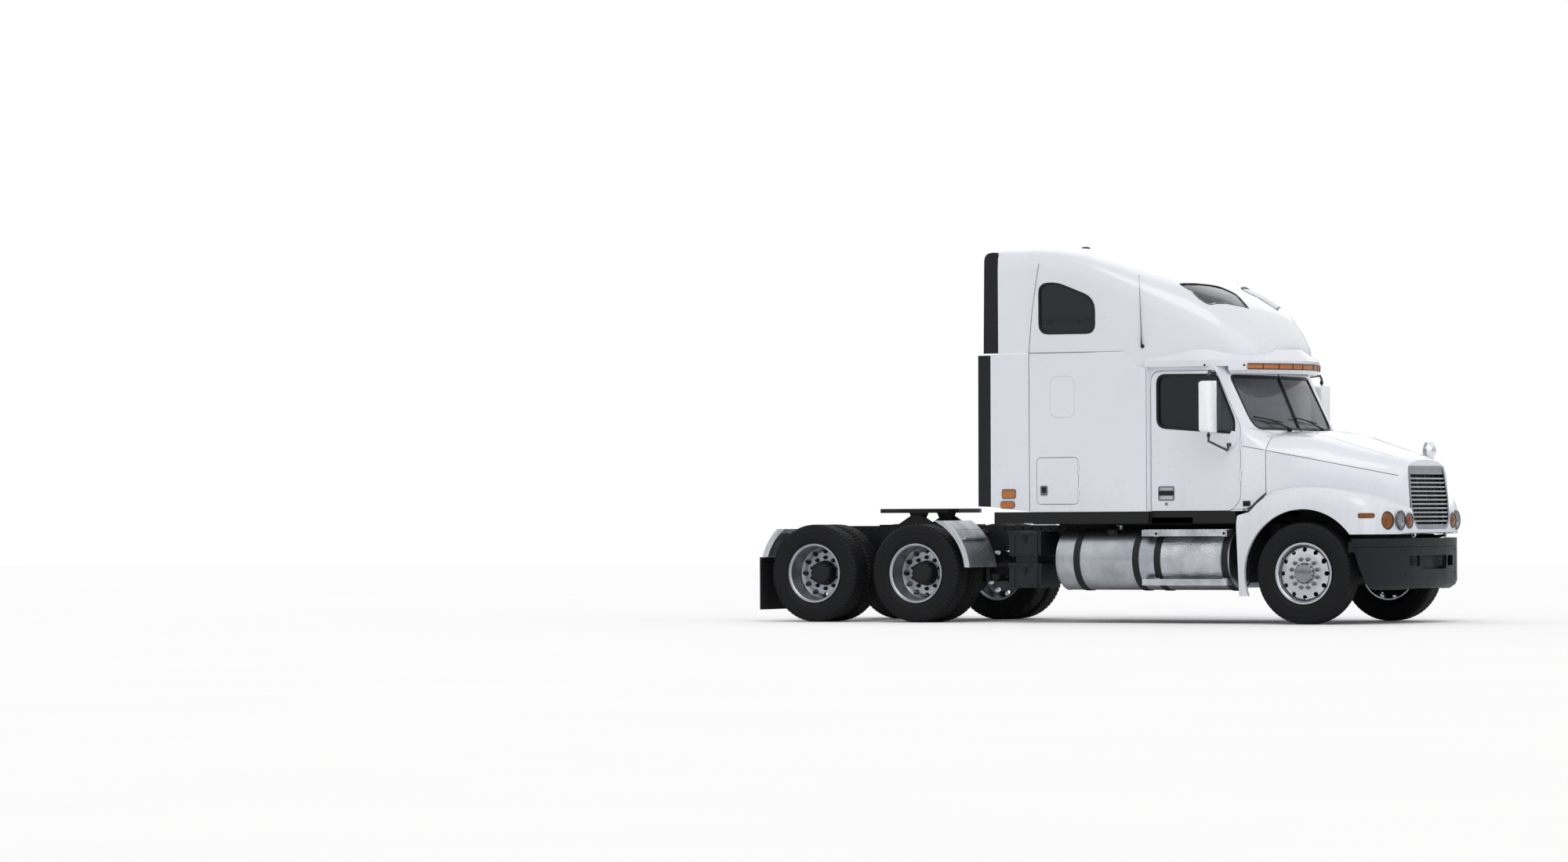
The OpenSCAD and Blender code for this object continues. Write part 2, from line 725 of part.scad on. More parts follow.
// Two tread steps with their end brackets over each tank
module tank_steps() {
    color("#b9bcc0") placed() both() {
        difference() {
            for (z = [400, 912])
                block([tank_x - 990, tank_y + 120, z], [tank_x - 20, fender_half + 15, z + 66]);
            for (z = [418, 894])
                block([tank_x - 970, tank_y + 100, z], [tank_x - 40, fender_half - 4, z + 66]);
            translate([tank_x - 1100, tank_y, tank_z])
                rotate([0, 90, 0]) cylinder(d = tank_d + 16.6, h = 1200, $fn = 96);
        }
        for (x = strap_x)
            if (x > tank_x - 960)
                difference() {
                    union() {
                        block([x - 30, tank_y + 100, 404], [x + 30, fender_half, 470]);
                        block([x - 30, tank_y + 100, 908], [x + 30, fender_half, 974]);
                    }
                    translate([x - 40, tank_y, tank_z])
                        rotate([0, 90, 0]) cylinder(d = tank_d + 16.6, h = 80, $fn = 96);
                }
        difference() {
            translate([tank_x - 778, tank_y, tank_z])
                rotate([0, 90, 0]) cylinder(d = tank_d + 14, h = 690, $fn = 96);
            translate([tank_x - 790, tank_y, tank_z])
                rotate([0, 90, 0]) cylinder(d = tank_d + 0.6, h = 720, $fn = 96);
            block([tank_x - 800, 0, 200], [tank_x, tank_y + 190, 1100]);
        }
    }
}

// Battery and air boxes behind the tanks
module equipment_boxes() {
    color("#2a2c2f") placed() both() {
        for (z = [[372, 628], [712, 966]]) {
            block([box_x0, 760, z[0]], [box_x1, sleeper_half - 50, z[1] - 40]);
            block([box_x0 - 8, 752, z[1] - 40], [box_x1 + 8, sleeper_half - 42, z[1]]);
            for (x = [box_x0 + 40, box_x1 - 66])
                block([x, 750, z[0] - 6], [x + 26, sleeper_half - 38, z[1] + 6]);
        }
        block([box_x0 + 60, rail_half + 0.3, 625], [box_x1 - 60, sleeper_half - 90, 715]);
        block([box_x0 + 60, rail_half + 0.3, 640], [box_x1 - 60, 700, rail_top - 100]);
    }
}

// Arc of sheet over a drive wheel between two heights, with a lip along its outer edge
module fender_arc(x, r, z0, z1, back) {
    y0 = dual_in - 156;
    y1 = dual_out + 140;
    difference() {
        translate([x, y0, wheel_z]) rotate([-90, 0, 0]) cylinder(r = r, h = y1 - y0, $fn = 96);
        translate([x, y0 - 10, wheel_z]) rotate([-90, 0, 0]) cylinder(r = r - 8, h = y1 - y0 + 4, $fn = 96);
        translate([x, y1 - 20, wheel_z]) rotate([-90, 0, 0]) cylinder(r = r - 60, h = 40, $fn = 96);
        block([x - 2000, y0 - 100, -200], [x + 2000, y1 + 60, z0]);
        block([x - 2000, y0 - 100, z1], [x + 2000, y1 + 60, 1400]);
        block([back ? x : x - 2000, y0 - 100, -200], [back ? x + 2000 : x, y1 + 60, 1400]);
    }
}

// Quarter fenders ahead of and behind the drive wheels
module quarter_fenders() {
    color("#c3c6ca") placed() both() {
        fender_arc(tandem_gap / 2, 668, 588, 1086, false);
        block([tandem_gap / 2 + 430, rail_half + 0.3, 950], [tandem_gap / 2 + 480, 1180, 992]);
        side_plate([
            [tandem_gap / 2 + 530, 884], [tandem_gap / 2 + 600, 884], [tandem_gap / 2 + 606, 902],
            [tandem_gap / 2 + 536, 902]
        ], dual_in - 90, dual_out + 100);
        fender_arc(-tandem_gap / 2, 654, 700, 1000, true);
        block([-tandem_gap / 2 - 480, rail_half + 0.3, 955], [-tandem_gap / 2 - 430, 1180, 1003]);
    }
}

// Rear mud flaps on their hangers
module mud_flaps() {
    color("#151515") placed() both() {
        block([flap_x, 700, 130], [flap_x + 14, 1240, 699]);
        block([flap_x, rail_half + 0.3, 660], [flap_x + 30, 1240, 699]);
        block([flap_x, rail_half + 0.3, 660], [-rail_tail + 60, rail_half + 40, 820]);
    }
}

// Fifth wheel mount on the frame with a pin on each side
module coupler_mount() {
    color("#232528") placed() {
        block([coupler_x - 420, -rail_half - 10, rail_top + 0.3], [coupler_x + 420, rail_half + 10, rail_top + 14]);
        both() {
            difference() {
                side_plate([
                    [coupler_x - 230, rail_top + 14], [coupler_x + 230, rail_top + 14],
                    [coupler_x + 60, rail_top + 116], [coupler_x - 60, rail_top + 116]
                ], 340, 372);
                translate([coupler_x, 330, coupler_z - 115]) rotate([-90, 0, 0]) cylinder(d = 40, h = 60);
            }
            translate([coupler_x, 290, coupler_z - 115]) rotate([-90, 0, 0]) cylinder(d = 40, h = 84);
        }
    }
}

// Tilting plate with its throat and jaws for the trailer pin
module coupler_plate() {
    color("#2c2e31") placed() {
        difference() {
            translate([coupler_x, 0, coupler_z - 45])
                linear_extrude(height = 45) polygon([
                    [-150, 460], [280, 460], [400, 380], [450, 240], [450, -240], [400, -380], [280, -460],
                    [-150, -460], [-470, -330], [-470, -190], [-330, -90], [-80, -42],
                    [-80, 42], [-330, 90], [-470, 190], [-470, 330]
                ]);
            translate([coupler_x - 40, 0, coupler_z - 60]) cylinder(d = pin_d + 1, h = 80);
            block([coupler_x - 120, -pin_d / 2, coupler_z - 60], [coupler_x - 60, pin_d / 2, coupler_z + 1]);
        }
        both()
            difference() {
                side_plate([
                    [coupler_x - 110, coupler_z - 45], [coupler_x - 60, coupler_z - 148],
                    [coupler_x + 60, coupler_z - 148], [coupler_x + 110, coupler_z - 45]
                ], 294, 330);
                translate([coupler_x, 280, coupler_z - 115])
                    rotate([-90, 0, 0]) cylinder(d = 40 + 2 * run_gap, h = 60);
            }
    }
}

// Tail lamp clusters on the frame end and side markers on the fairings
module lamps() {
    color("#b5371c") placed() {
        both() block([-rail_tail - 34, 250, 820], [-rail_tail - 0.3, 420, 930]);
        both() {
            block([sleeper_back - 315, sleeper_half + 0.3, 1326], [sleeper_back - 170, sleeper_half + 14, 1404]);
            block([sleeper_back - 335, sleeper_half + 0.3, 1218], [sleeper_back - 180, sleeper_half + 14, 1280]);
        }
        translate([0, 0, 2652])
            linear_extrude(height = 52)
                difference() {
                    polygon([for (p = visor_ring(0, -5)) [p[0], p[1]]]);
                    polygon([for (p = visor_ring(0, -0.4)) [p[0], p[1]]]);
                    translate([sx - 4000, -1300]) square([3226, 2600]);
                }
    }
}

// Cab shell: floor, fire wall, cowl, pillars and door frames
module cab_shell() {
    lip = cab_half - door_t - 8;
    color("#eceef2") placed() {
        difference() {
            union() {
                block([sleeper_front, -lip - 3, sill_z], [door_x + 16, lip + 3, sill_z + 40]);
                block([door_x, -cab_half + 50, sill_z], [door_x + 50, cab_half - 50, glass_low - 50]);
                difference() {
                    face_plate([
                        [-960, 1926], [960, 1926], [960, 1958], [740, 1964], [400, 1998], [0, 2006],
                        [-400, 1998], [-740, 1964], [-960, 1958]
                    ], sx - 700, hood_x - 12);
                    front_wall(wall_t - 2, 700, 1900, 2100, 2);
                }
                both() {
                    skin([for (x = [-830, -721, -690, -626, -540, -466]) cowl_ring(x)]);
                    pillar();
                    side_plate([
                        [sleeper_front, 2480], [seam_x(2480), 2480], [seam_x(2588), 2588],
                        [seam_x(header_z), header_z], [sleeper_front, header_z]
                    ], cab_half - 90, cab_half);
                    side_plate([
                        [door_x - 200, sill_z], [door_x + 10, sill_z], [door_x + 10, sill_z + 240],
                        [door_x - 200, sill_z + 240]
                    ], cab_half - 90, cab_half - 10);
                }
                front_wall(0, wall_t, glass_low - 58, header_z, 2);
            }
            both() {
                side_plate(door_outline(0), lip, cab_half + 1);
                side_plate(door_outline(44), cab_half - 100, cab_half);
                face_plate(screen_outline(0), sx - 1200, sx - 300);
                door_hinges() leaf_room();
            }
        }
        both() door_hinges() hinge_post();
    }
}

// Fixed glass: two windshield panes, the loft windows and the skylights
module fixed_glass() {
    color("#1f262b", 0.6) placed() {
        intersection() {
            front_wall(12, 20, glass_low, glass_high, 2);
            both() face_plate(screen_outline(0.6), sx - 1200, sx - 300);
        }
        both() side_plate(loft_outline(0.6), sleeper_half - 20, sleeper_half - 12);
        intersection() {
            difference() {
                roof_volume(8);
                roof_volume(16);
            }
            both() translate([0, 0, 3000]) linear_extrude(height = 900) polygon(sky_outline(1.6));
        }
    }
}

// Sleeper box, open to the cab
module sleeper_shell() {
    color("#eceef2") placed() {
        difference() {
            intersection() {
                translate([0, 0, sill_z])
                    linear_extrude(height = cap_z - sill_z) polygon([
                        [sleeper_back, -sleeper_half], [sleeper_front - 88, -sleeper_half],
                        [sleeper_front - 20, -sleeper_half + 24], [sleeper_front, -cab_half],
                        [sleeper_front, cab_half], [sleeper_front - 20, sleeper_half - 24],
                        [sleeper_front - 88, sleeper_half], [sleeper_back, sleeper_half]
                    ]);
                side_plate([
                    [sleeper_back, sill_z], [sleeper_front, sill_z], [sleeper_front, header_z],
                    [sleeper_front - 90, header_z], [sleeper_front - 170, header_z + 50],
                    [sleeper_front - 230, cap_z - 30], [sleeper_front - 300, cap_z], [sleeper_back, cap_z]
                ], -1500, 1500);
            }
            block(
                [sleeper_back + wall_t, -sleeper_half + wall_t, sill_z + wall_t],
                [sleeper_front - 90, sleeper_half - wall_t, cap_z + 1]
            );
            block(
                [sleeper_front - 91, -cab_half + 60, sill_z + wall_t],
                [sleeper_front + 1, cab_half - 60, cap_z + 1]
            );
            both()
                side_plate(
                    rounded_box(bag_x0, bag_z0, bag_x1, bag_z1, 40), sleeper_half - wall_t - 5, sleeper_half + 5
                );
            both()
                difference() {
                    side_plate(hatch_outline(0), sleeper_half - 4, sleeper_half + 1);
                    side_plate(hatch_outline(7), sleeper_half - 5, sleeper_half + 2);
                }
            both() bag_hinges() leaf_room();
        }
        both() bag_hinges() hinge_post();
    }
}

// Raised roof cap with its visor
module roof_cap() {
    color("#f0f2f5") placed()
        difference() {
            union() {
                roof_volume(0);
                skin([visor_ring(2866, 150), visor_ring(2742, 0), visor_ring(2640, 0), visor_ring(2604, 26)]);
            }
            roof_volume(wall_t);
            side_plate([
                [sleeper_back - 1, 2000], [sleeper_front, 2000], [sleeper_front, header_z],
                [sleeper_front - 90, header_z], [sleeper_front - 170, header_z + 50],
                [sleeper_front - 230, cap_z - 30], [sleeper_front - 300, cap_z], [sleeper_back - 1, cap_z]
            ], -1500, 1500);
            front_wall(-1.5, 2600, 1990, header_z, 2);
            block([sleeper_front - 60, -1300, 2500], [door_x - 200, 1300, header_z]);
            both() side_plate(loft_outline(0), sleeper_half - 100, sleeper_half + 5);
            both() translate([0, 0, 3000]) linear_extrude(height = 900) polygon(sky_outline(0));
        }
}

// White side fairings behind the sleeper
module side_fairings() {
    color("#eceef2") placed() both() {
        side_plate([
            [sleeper_back - 0.3, sill_z + 4], [sleeper_back - 0.3, cap_z - 6], [sleeper_back - 455, cap_z - 6],
            [sleeper_back - 460, sill_z + 56]
        ], sleeper_half - 30, sleeper_half);
        difference() {
            face_plate(roof_section(0), sleeper_back - 362, sleeper_back - 0.3);
            face_plate(roof_section(30), sleeper_back - 400, sleeper_back + 10);
            block([sleeper_back - 400, -1300, cap_z - 40], [sleeper_back, 900, roof_z + 10]);
        }
    }
}

// Black rubber edges of the fairings
module fairing_edges() {
    color("#222326") placed() both() {
        side_plate([
            [sleeper_back - 460.3, sill_z + 57], [sleeper_back - 455.3, cap_z - 14],
            [sleeper_back - 610, cap_z - 14], [sleeper_back - 616, sill_z + 62]
        ], sleeper_half - 24, sleeper_half - 10);
        side_plate(soft([
            [sleeper_back - 362.3, cap_z + 6], [sleeper_back - 362.3, roof_z - 70],
            [sleeper_back - 530, roof_z - 64], [sleeper_back - 544, cap_z + 6]
        ], [0, 0, 100, 0]), sleeper_half - 24, sleeper_half - 10);
    }
}

// Black sill beam under the cab and sleeper
module sill() {
    color("#1a1b1d") placed()
        both() {
            block([sleeper_back + 6, 520, rail_top + 12], [door_x - 70, cab_half - 10, sill_z - 0.3]);
            block([sleeper_back + 6, 520, rail_top - 16], [door_x - 70, 532, rail_top + 20]);
            block(
                [sleeper_back - 430, sleeper_half - 70, rail_top + 22],
                [door_back - 10, sleeper_half - 16, sill_z - 0.3]
            );
            for (x = [sleeper_back + 200, door_back - 300, door_x - 300])
                block([x, rail_half - 80, rail_top + 0.3], [x + 130, 530, sill_z - 30]);
        }
}

// Hood and fenders as one tilting shell
module hood_shell() {
    color("#eef0f4") placed() {
        difference() {
            union() {
                difference() {
                    hood_centre(0);
                    nose_cut(0);
                }
                intersection() {
                    fender_volume(0);
                    side_plate([
                        [sx - 775, 1500], [sx - 723, 290], [sx - 590, 290], [sx - 300, 700], [sx + 400, 900],
                        [sx + 1000, 900], [sx + 1000, 1500]
                    ], -1300, 1300);
                }
            }
            difference() {
                hood_centre(hood_t);
                nose_cut(hood_t);
            }
            fender_volume(hood_t + 10);
            block([sx - 900, -cab_half - 10, 200], [hood_x, cab_half + 10, 2300]);
            both()
                translate([sx, 300, wheel_z]) rotate([-90, 0, 0]) cylinder(r = arch_r, h = 1000, $fn = 96);
            on_nose() face_plate(grille_outline(-0.4), -120, 80);
            side_plate([
                [sx + 300, 200], [sx + 1000, 200], [sx + 1000, 939], [tilt_x + 13, 939],
                [tilt_x - 12, 925], [sx + 300, 925]
            ], -1400, 1400);
            both() {
                block([tilt_x - 30, rail_half - 78, 900], [tilt_x + 22, rail_half - 44, 950]);
                for (l = lamp_seats) lamp_body(l, 0.3);
            }
        }
        both()
            difference() {
                union() {
                    side_plate([
                        [tilt_x - 18, tilt_z + 6], [tilt_x + 18, tilt_z + 6], [sx + 919, 946], [sx + 919, 966],
                        [sx + 884, 966], [sx + 880, 946]
                    ], rail_half - 42, rail_half - 22);
                    translate([tilt_x, rail_half - 42, tilt_z]) rotate([-90, 0, 0]) cylinder(r = 21, h = 20);
                }
                translate([tilt_x, rail_half - 60, tilt_z])
                    rotate([-90, 0, 0]) cylinder(d = tilt_pin_d + 2 * run_gap, h = 60);
            }
    }
}

// Grille with its leaning surround, slats and bare top panel
module grille() {
    slats = 12;
    pitch = 532 / slats;
    color("#b4b8bd") placed() on_nose() {
        difference() {
            face_plate(grille_outline(0), -44, 5);
            face_plate(grille_outline(32), -60, 20);
        }
        intersection() {
            face_plate(grille_outline(30), -60, 20);
            union() {
                for (k = [0 : slats - 1])
                    translate([-34, -500, 14 + pitch * k])
                        rotate([0, 14, 0]) cube([34, 1000, 17]);
                block([-36, -500, 545], [-1, 500, 632]);
                for (y = [-214, 0, 214])
                    block([-44, y - 5, -20], [-30, y + 5, 600]);
            }
        }
    }
}

// Lamps in each fender front: X, Y, Z of the face, diameter, turn outward
lamp_seats = [
    [sx + 812, fender_half - 304, 1064, 176, 24], [sx + 885, fender_half - 494, 1066, 190, 0],
    [sx + 914, fender_half - 647, 1063, 146, 0]
];

// One lamp body with a domed lens, or with g the hole for it
module lamp_body(l, g) {
    r = l[3] / 2;
    translate([l[0], l[1], l[2]])
        rotate([0, 90, l[4]])
            if (g > 0)
                translate([0, 0, -90]) cylinder(r = r + g, h = 170, $fn = 64);
            else
                rotate_extrude(angle = 360)
                    polygon([
                        [0, -66], [r - 30, -66], [r, -40], [r, 0], [r - 6, 4], [r * 0.72, 11],
                        [r * 0.4, 15], [0, 17]
                    ]);
}

// Turn lamps, headlamps and side markers in the fender fronts
module headlamps() {
    color("#cfd6da") placed() both() {
        for (l = lamp_seats) lamp_body(l, 0);
        intersection() {
            difference() {
                fender_volume(-6);
                fender_volume(-0.4);
            }
            side_plate(rounded_box(sx + 621, 1091, sx + 752, 1143, 14), 900, 1300);
        }
    }
}

// Round mirror on the left of the hood nose
module hood_mirror() {
    x = sx + 640;
    color("#cdd2d8") placed() {
        translate([x - 22, 640, 1795])
            rotate([0, 90, 0])
                rotate_extrude(angle = 360)
                    polygon([[0, 0], [92, 0], [100, 8], [100, 14], [84, 34], [52, 52], [0, 60]]);
        difference() {
            union() {
                bar([x + 8, 634, 1560], [x + 18, 640, 1712], 20);
                bar([x + 8, 634, 1560], [x + 9, 634, 1672], 60);
            }
            hood_centre(-0.4);
        }
    }
}

// Cab door with its window opening and handle
module door() {
    difference() {
        side_plate(door_outline(door_gap), cab_half - door_t, cab_half);
        side_plate(pane_outline(0), cab_half - door_t - 1, cab_half + 1);
        block([door_back + 94, cab_half - 20, 1292], [door_back + 262, cab_half + 1, 1424]);
        door_hinges() post_room();
    }
    block([door_back + 90, cab_half - 14, 1340], [door_back + 266, cab_half - 4, 1384]);
    door_hinges() hinge_leaf();
}

module door_right() {
    color("#eceef2") placed() mirror([0, 1, 0]) door();
}

module door_left() {
    color("#eceef2") placed() door();
}

module door_pane() {
    side_plate(pane_outline(0.6), cab_half - 34, cab_half - 28);
}

module door_glass_right() {
    color("#1f262b", 0.6) placed() mirror([0, 1, 0]) door_pane();
}

module door_glass_left() {
    color("#1f262b", 0.6) placed() door_pane();
}

// Tall mirror on tube arms, seated on the door by two feet
module side_mirror() {
    mx = sx - 966;
    my = cab_half + 256;
    z0 = header_z - 695;
    z1 = header_z - 160;
    low = [mx, my, z0 - 90];
    elbow = [door_x - 140, cab_half + 32, z0 - 184];
    foot = [door_x - 124, cab_half + 12, z0 - 126];
    bend = [mx - 4, my - 34, z1 + 104];
    top = [door_x - 304, cab_half + 12, header_z - 78];
    intersection() {
        translate([0, 0, z0])
            linear_extrude(height = z1 - z0)
                polygon(soft([
                    [mx - 66, my - 112], [mx + 68, my - 104], [mx + 68, my + 104], [mx - 66, my + 112]
                ], [24, 66, 66, 24]));
        face_plate(soft([[my - 112, z0], [my + 112, z0], [my + 112, z1], [my - 112, z1]], 64), mx - 80, mx + 80);
    }
    bar([mx, my, z1 - 10], [mx, my, z1 + 70], 24);
    bar([mx, my, z1 + 70], bend, 24);
    bar(bend, top, 24);
    bar([mx, my, z0 + 10], low, 24);
    bar(low, elbow, 24);
    bar(elbow, foot, 24);
    for (p = [[mx, my, z1 + 70], bend, low, elbow])
        translate(p) sphere(d = 26, $fn = 24);
    for (p = [foot, top])
        block([p[0] - 26, cab_half + 0.3, p[2] - 18], [p[0] + 26, cab_half + 22, p[2] + 18]);
}

module mirror_right() {
    color("#e8eaee") placed() mirror([0, 1, 0]) side_mirror();
}

module mirror_left() {
    color("#e8eaee") placed() side_mirror();
}

// Steering knuckle: yoke round the axle eye, kingpin, spindle and arm
module knuckle() {
    translate([sx, 0, wheel_z]) {
        translate([0, kingpin_half, -96]) cylinder(d = axle_pin_d, h = 192);
        for (z = [-96, 60])
            translate([0, kingpin_half, z]) cylinder(d = 96, h = 36);
        translate([-48, kingpin_half + 58, -96]) cube([96, 34, 192]);
        for (z = [-96, 60])
            translate([-48, kingpin_half, z]) cube([96, 60, 36]);
        translate([0, kingpin_half + 90, 0])
            rotate([-90, 0, 0]) cylinder(d = spindle_d, h = front_track_half - kingpin_half);
        translate([-230, kingpin_half - 20, -96]) cube([200, 40, 36]);
    }
}

module knuckle_right() {
    color("#27292c") placed() mirror([0, 1, 0]) knuckle();
}

module knuckle_left() {
    color("#27292c") placed() knuckle();
}

// Tyre about its own Z axis, middle at Z 0
module tyre_ring(depth) {
    r = tyre_d / 2;
    rr = rim_d / 2;
    h = tyre_w / 2;
    rotate_extrude(angle = 360)
        polygon([
            [rr - 14, -h * 0.78], [rr + 26, -h * 0.86], [rr + 90, -h], [r - 66, -h * 0.985], [r - 16, -h * 0.84],
            [r, -h * 0.76], [r, -h * 0.42], [r - depth, -h * 0.42], [r - depth, -h * 0.34], [r, -h * 0.34],
            [r, h * 0.34], [r - depth, h * 0.34], [r - depth, h * 0.42], [r, h * 0.42],
            [r, h * 0.76], [r - 16, h * 0.84], [r - 66, h * 0.985], [rr + 90, h],
            [rr + 26, h * 0.86], [rr - 14, h * 0.78]
        ]);
}

// Front rim about its own Z axis, outer side at plus Z, spindle bore through the hub
module front_wheel() {
    rr = rim_d / 2 - 14.3;
    h = tyre_w / 2 * 0.78;
    difference() {
        rotate_extrude(angle = 360)
            polygon([
                [spindle_d / 2 + run_gap, -60], [120, -60], [150, 0], [150, 40], [200, 56], [262, 40],
                [rr - 24, 10], [rr - 12, -h], [rr, -h], [rr, h], [rr + 13, h + 5], [rr + 13, h + 12],
                [rr - 4, h + 12], [rr - 14, h], [rr - 24, 44], [264, 76], [206, 94], [112, 88], [105, 92],
                [104, 108], [92, 122], [60, 130], [0, 133], [0, 92],
                [spindle_d / 2 + run_gap, 92]
            ]);
        for (k = [0 : hand_holes - 1])
            rotate([0, 0, k * 360 / hand_holes])
                translate([246, 0, -80]) cylinder(d = front_hole_d, h = 260, $fn = 32);
    }
}

// Rear rims back to back on one hub about Z, outer side at plus Z
module rear_wheel() {
    rr = rim_d / 2 - 14.3;
    h = tyre_w / 2 * 0.78;
    g = dual_gap / 2;
    difference() {
        rotate_extrude(angle = 360)
            polygon([
                [rear_spindle_d / 2 + run_gap, -120], [130, -120], [130, -26], [230, -26], [rr - 30, -70],
                [rr - 14, -g - h], [rr - 4, -g - h - 12], [rr + 13, -g - h - 12], [rr + 13, -g - h - 5],
                [rr, -g - h], [rr, -g + h], [rr - 12, -g + h], [rr - 22, -34],
                [rr - 22, 34], [rr - 12, g - h], [rr, g - h], [rr, g + h], [rr + 13, g + h + 5],
                [rr + 13, g + h + 12], [rr - 4, g + h + 12], [rr - 14, g + h],
                [rr - 30, 70], [230, 26], [130, 26], [118, 130], [96, 150], [40, 158], [0, 158], [0, 116],
                [rear_spindle_d / 2 + run_gap, 116]
            ]);
        for (k = [0 : hand_holes - 1])
            rotate([0, 0, k * 360 / hand_holes])
                translate([238, 0, -200]) cylinder(d = rear_hole_d, h = 400, $fn = 32);
    }
}

module at_front(side) {
    translate([sx, side * front_track_half, wheel_z]) rotate([side * -90, 0, 0]) children();
}

module at_rear(x, side) {
    translate([x, side * dual_track_half, wheel_z]) rotate([side * -90, 0, 0]) children();
}

module dual_tyres() {
    for (z = [-dual_gap / 2, dual_gap / 2]) translate([0, 0, z]) tyre_ring(12);
}

module front_tyre_right() {
    color("#2b2c2f") placed() at_front(-1) tyre_ring(12);
}

module front_tyre_left() {
    color("#2b2c2f") placed() at_front(1) tyre_ring(12);
}

module front_rim_right() {
    color("#c6c9cd") placed() at_front(-1) front_wheel();
}

module front_rim_left() {
    color("#c6c9cd") placed() at_front(1) front_wheel();
}

module fore_tyres_right() {
    color("#2b2c2f") placed() at_rear(tandem_gap / 2, -1) dual_tyres();
}

module fore_tyres_left() {
    color("#2b2c2f") placed() at_rear(tandem_gap / 2, 1) dual_tyres();
}

module fore_rims_right() {
    color("#c6c9cd") placed() at_rear(tandem_gap / 2, -1) rear_wheel();
}

module fore_rims_left() {
    color("#c6c9cd") placed() at_rear(tandem_gap / 2, 1) rear_wheel();
}

module aft_tyres_right() {
    color("#2b2c2f") placed() at_rear(-tandem_gap / 2, -1) dual_tyres();
}

module aft_tyres_left() {
    color("#2b2c2f") placed() at_rear(-tandem_gap / 2, 1) dual_tyres();
}

module aft_rims_right() {
    color("#c6c9cd") placed() at_rear(-tandem_gap / 2, -1) rear_wheel();
}

module aft_rims_left() {
    color("#c6c9cd") placed() at_rear(-tandem_gap / 2, 1) rear_wheel();
}

// Baggage door in the sleeper side
module baggage_door() {
    g = door_gap;
    difference() {
        side_plate(
            rounded_box(bag_x0 + g, bag_z0 + g, bag_x1 - g, bag_z1 - g, 40 - g),
            sleeper_half - wall_t, sleeper_half
        );
        bag_hinges() post_room();
    }
    bag_hinges() hinge_leaf();
    block([bag_x0 + 50, sleeper_half - 2, 1348], [bag_x0 + 130, sleeper_half + 5, 1446]);
}

module baggage_door_right() {
    color("#eceef2") placed() mirror([0, 1, 0]) baggage_door();
}

module baggage_door_left() {
    color("#eceef2") placed() baggage_door();
}

// Driver and passenger seats and the bunk mattress
module seats() {
    bunk = sleeper_half - 120;
    color("#6f757c") placed() {
        both() {
            block([door_back + 90, 330, sill_z + 40.3], [door_back + 440, 730, sill_z + 330]);
            block([door_back + 20, 290, sill_z + 330], [door_back + 520, 770, sill_z + 460]);
            translate([door_back + 30, 290, sill_z + 400])
                rotate([0, -8, 0]) cube([130, 480, 760]);
        }
        block([sleeper_back + 60, -bunk, sill_z + 430], [sleeper_back + 760, bunk, sill_z + 580]);
        block([sleeper_back + 60, -bunk - 20, sill_z + 42.3], [sleeper_back + 740, bunk + 20, sill_z + 429.7]);
    }
}

// Dashboard with the steering column and wheel
module dashboard() {
    color("#54585d") placed() {
        side_plate([
            [door_x - 360, 1560], [door_x - 0.3, 1560], [door_x - 0.3, 1900], [door_x - 120, 1926],
            [door_x - 300, 1900], [door_x - 380, 1830]
        ], 140 - cab_half, cab_half - 140);
        side_plate([
            [door_x - 330, 1900], [door_x - 140, 1926], [door_x - 200, 1962], [door_x - 300, 1950]
        ], 330, 730);
        bar([door_x - 370, 530, 1690], [door_back + 440, 530, 1850], 60);
        translate([door_back + 440, 530, 1850])
            rotate([0, -38, 0]) {
                rotate_extrude(angle = 360) translate([215, 0]) circle(d = 32, $fn = 24);
                cylinder(d = 90, h = 30, center = true);
                for (a = [90, 210, 330])
                    rotate([0, 0, a]) translate([0, -14, -8]) cube([212, 28, 16]);
            }
    }
}

frame();
steer_axle();
drive_axles();
springs();
engine();
driveline();
bumper();
fuel_tanks();
tank_straps();
tank_steps();
equipment_boxes();
quarter_fenders();
mud_flaps();
coupler_mount();
coupler_plate();
lamps();
cab_shell();
fixed_glass();
sleeper_shell();
roof_cap();
side_fairings();
fairing_edges();
sill();
seats();
dashboard();
hood_shell();
grille();
headlamps();
hood_mirror();
door_right();
door_left();
door_glass_right();
door_glass_left();
mirror_right();
mirror_left();
knuckle_right();
knuckle_left();
front_tyre_right();
front_tyre_left();
front_rim_right();
front_rim_left();
fore_tyres_right();
fore_tyres_left();
fore_rims_right();
fore_rims_left();
aft_tyres_right();
aft_tyres_left();
aft_rims_right();
aft_rims_left();
baggage_door_right();
baggage_door_left();
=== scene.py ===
import bpy
import bmesh
import json
import random
from math import sin, cos, pi, radians
from mathutils import Vector, Matrix
from mathutils.bvhtree import BVHTree

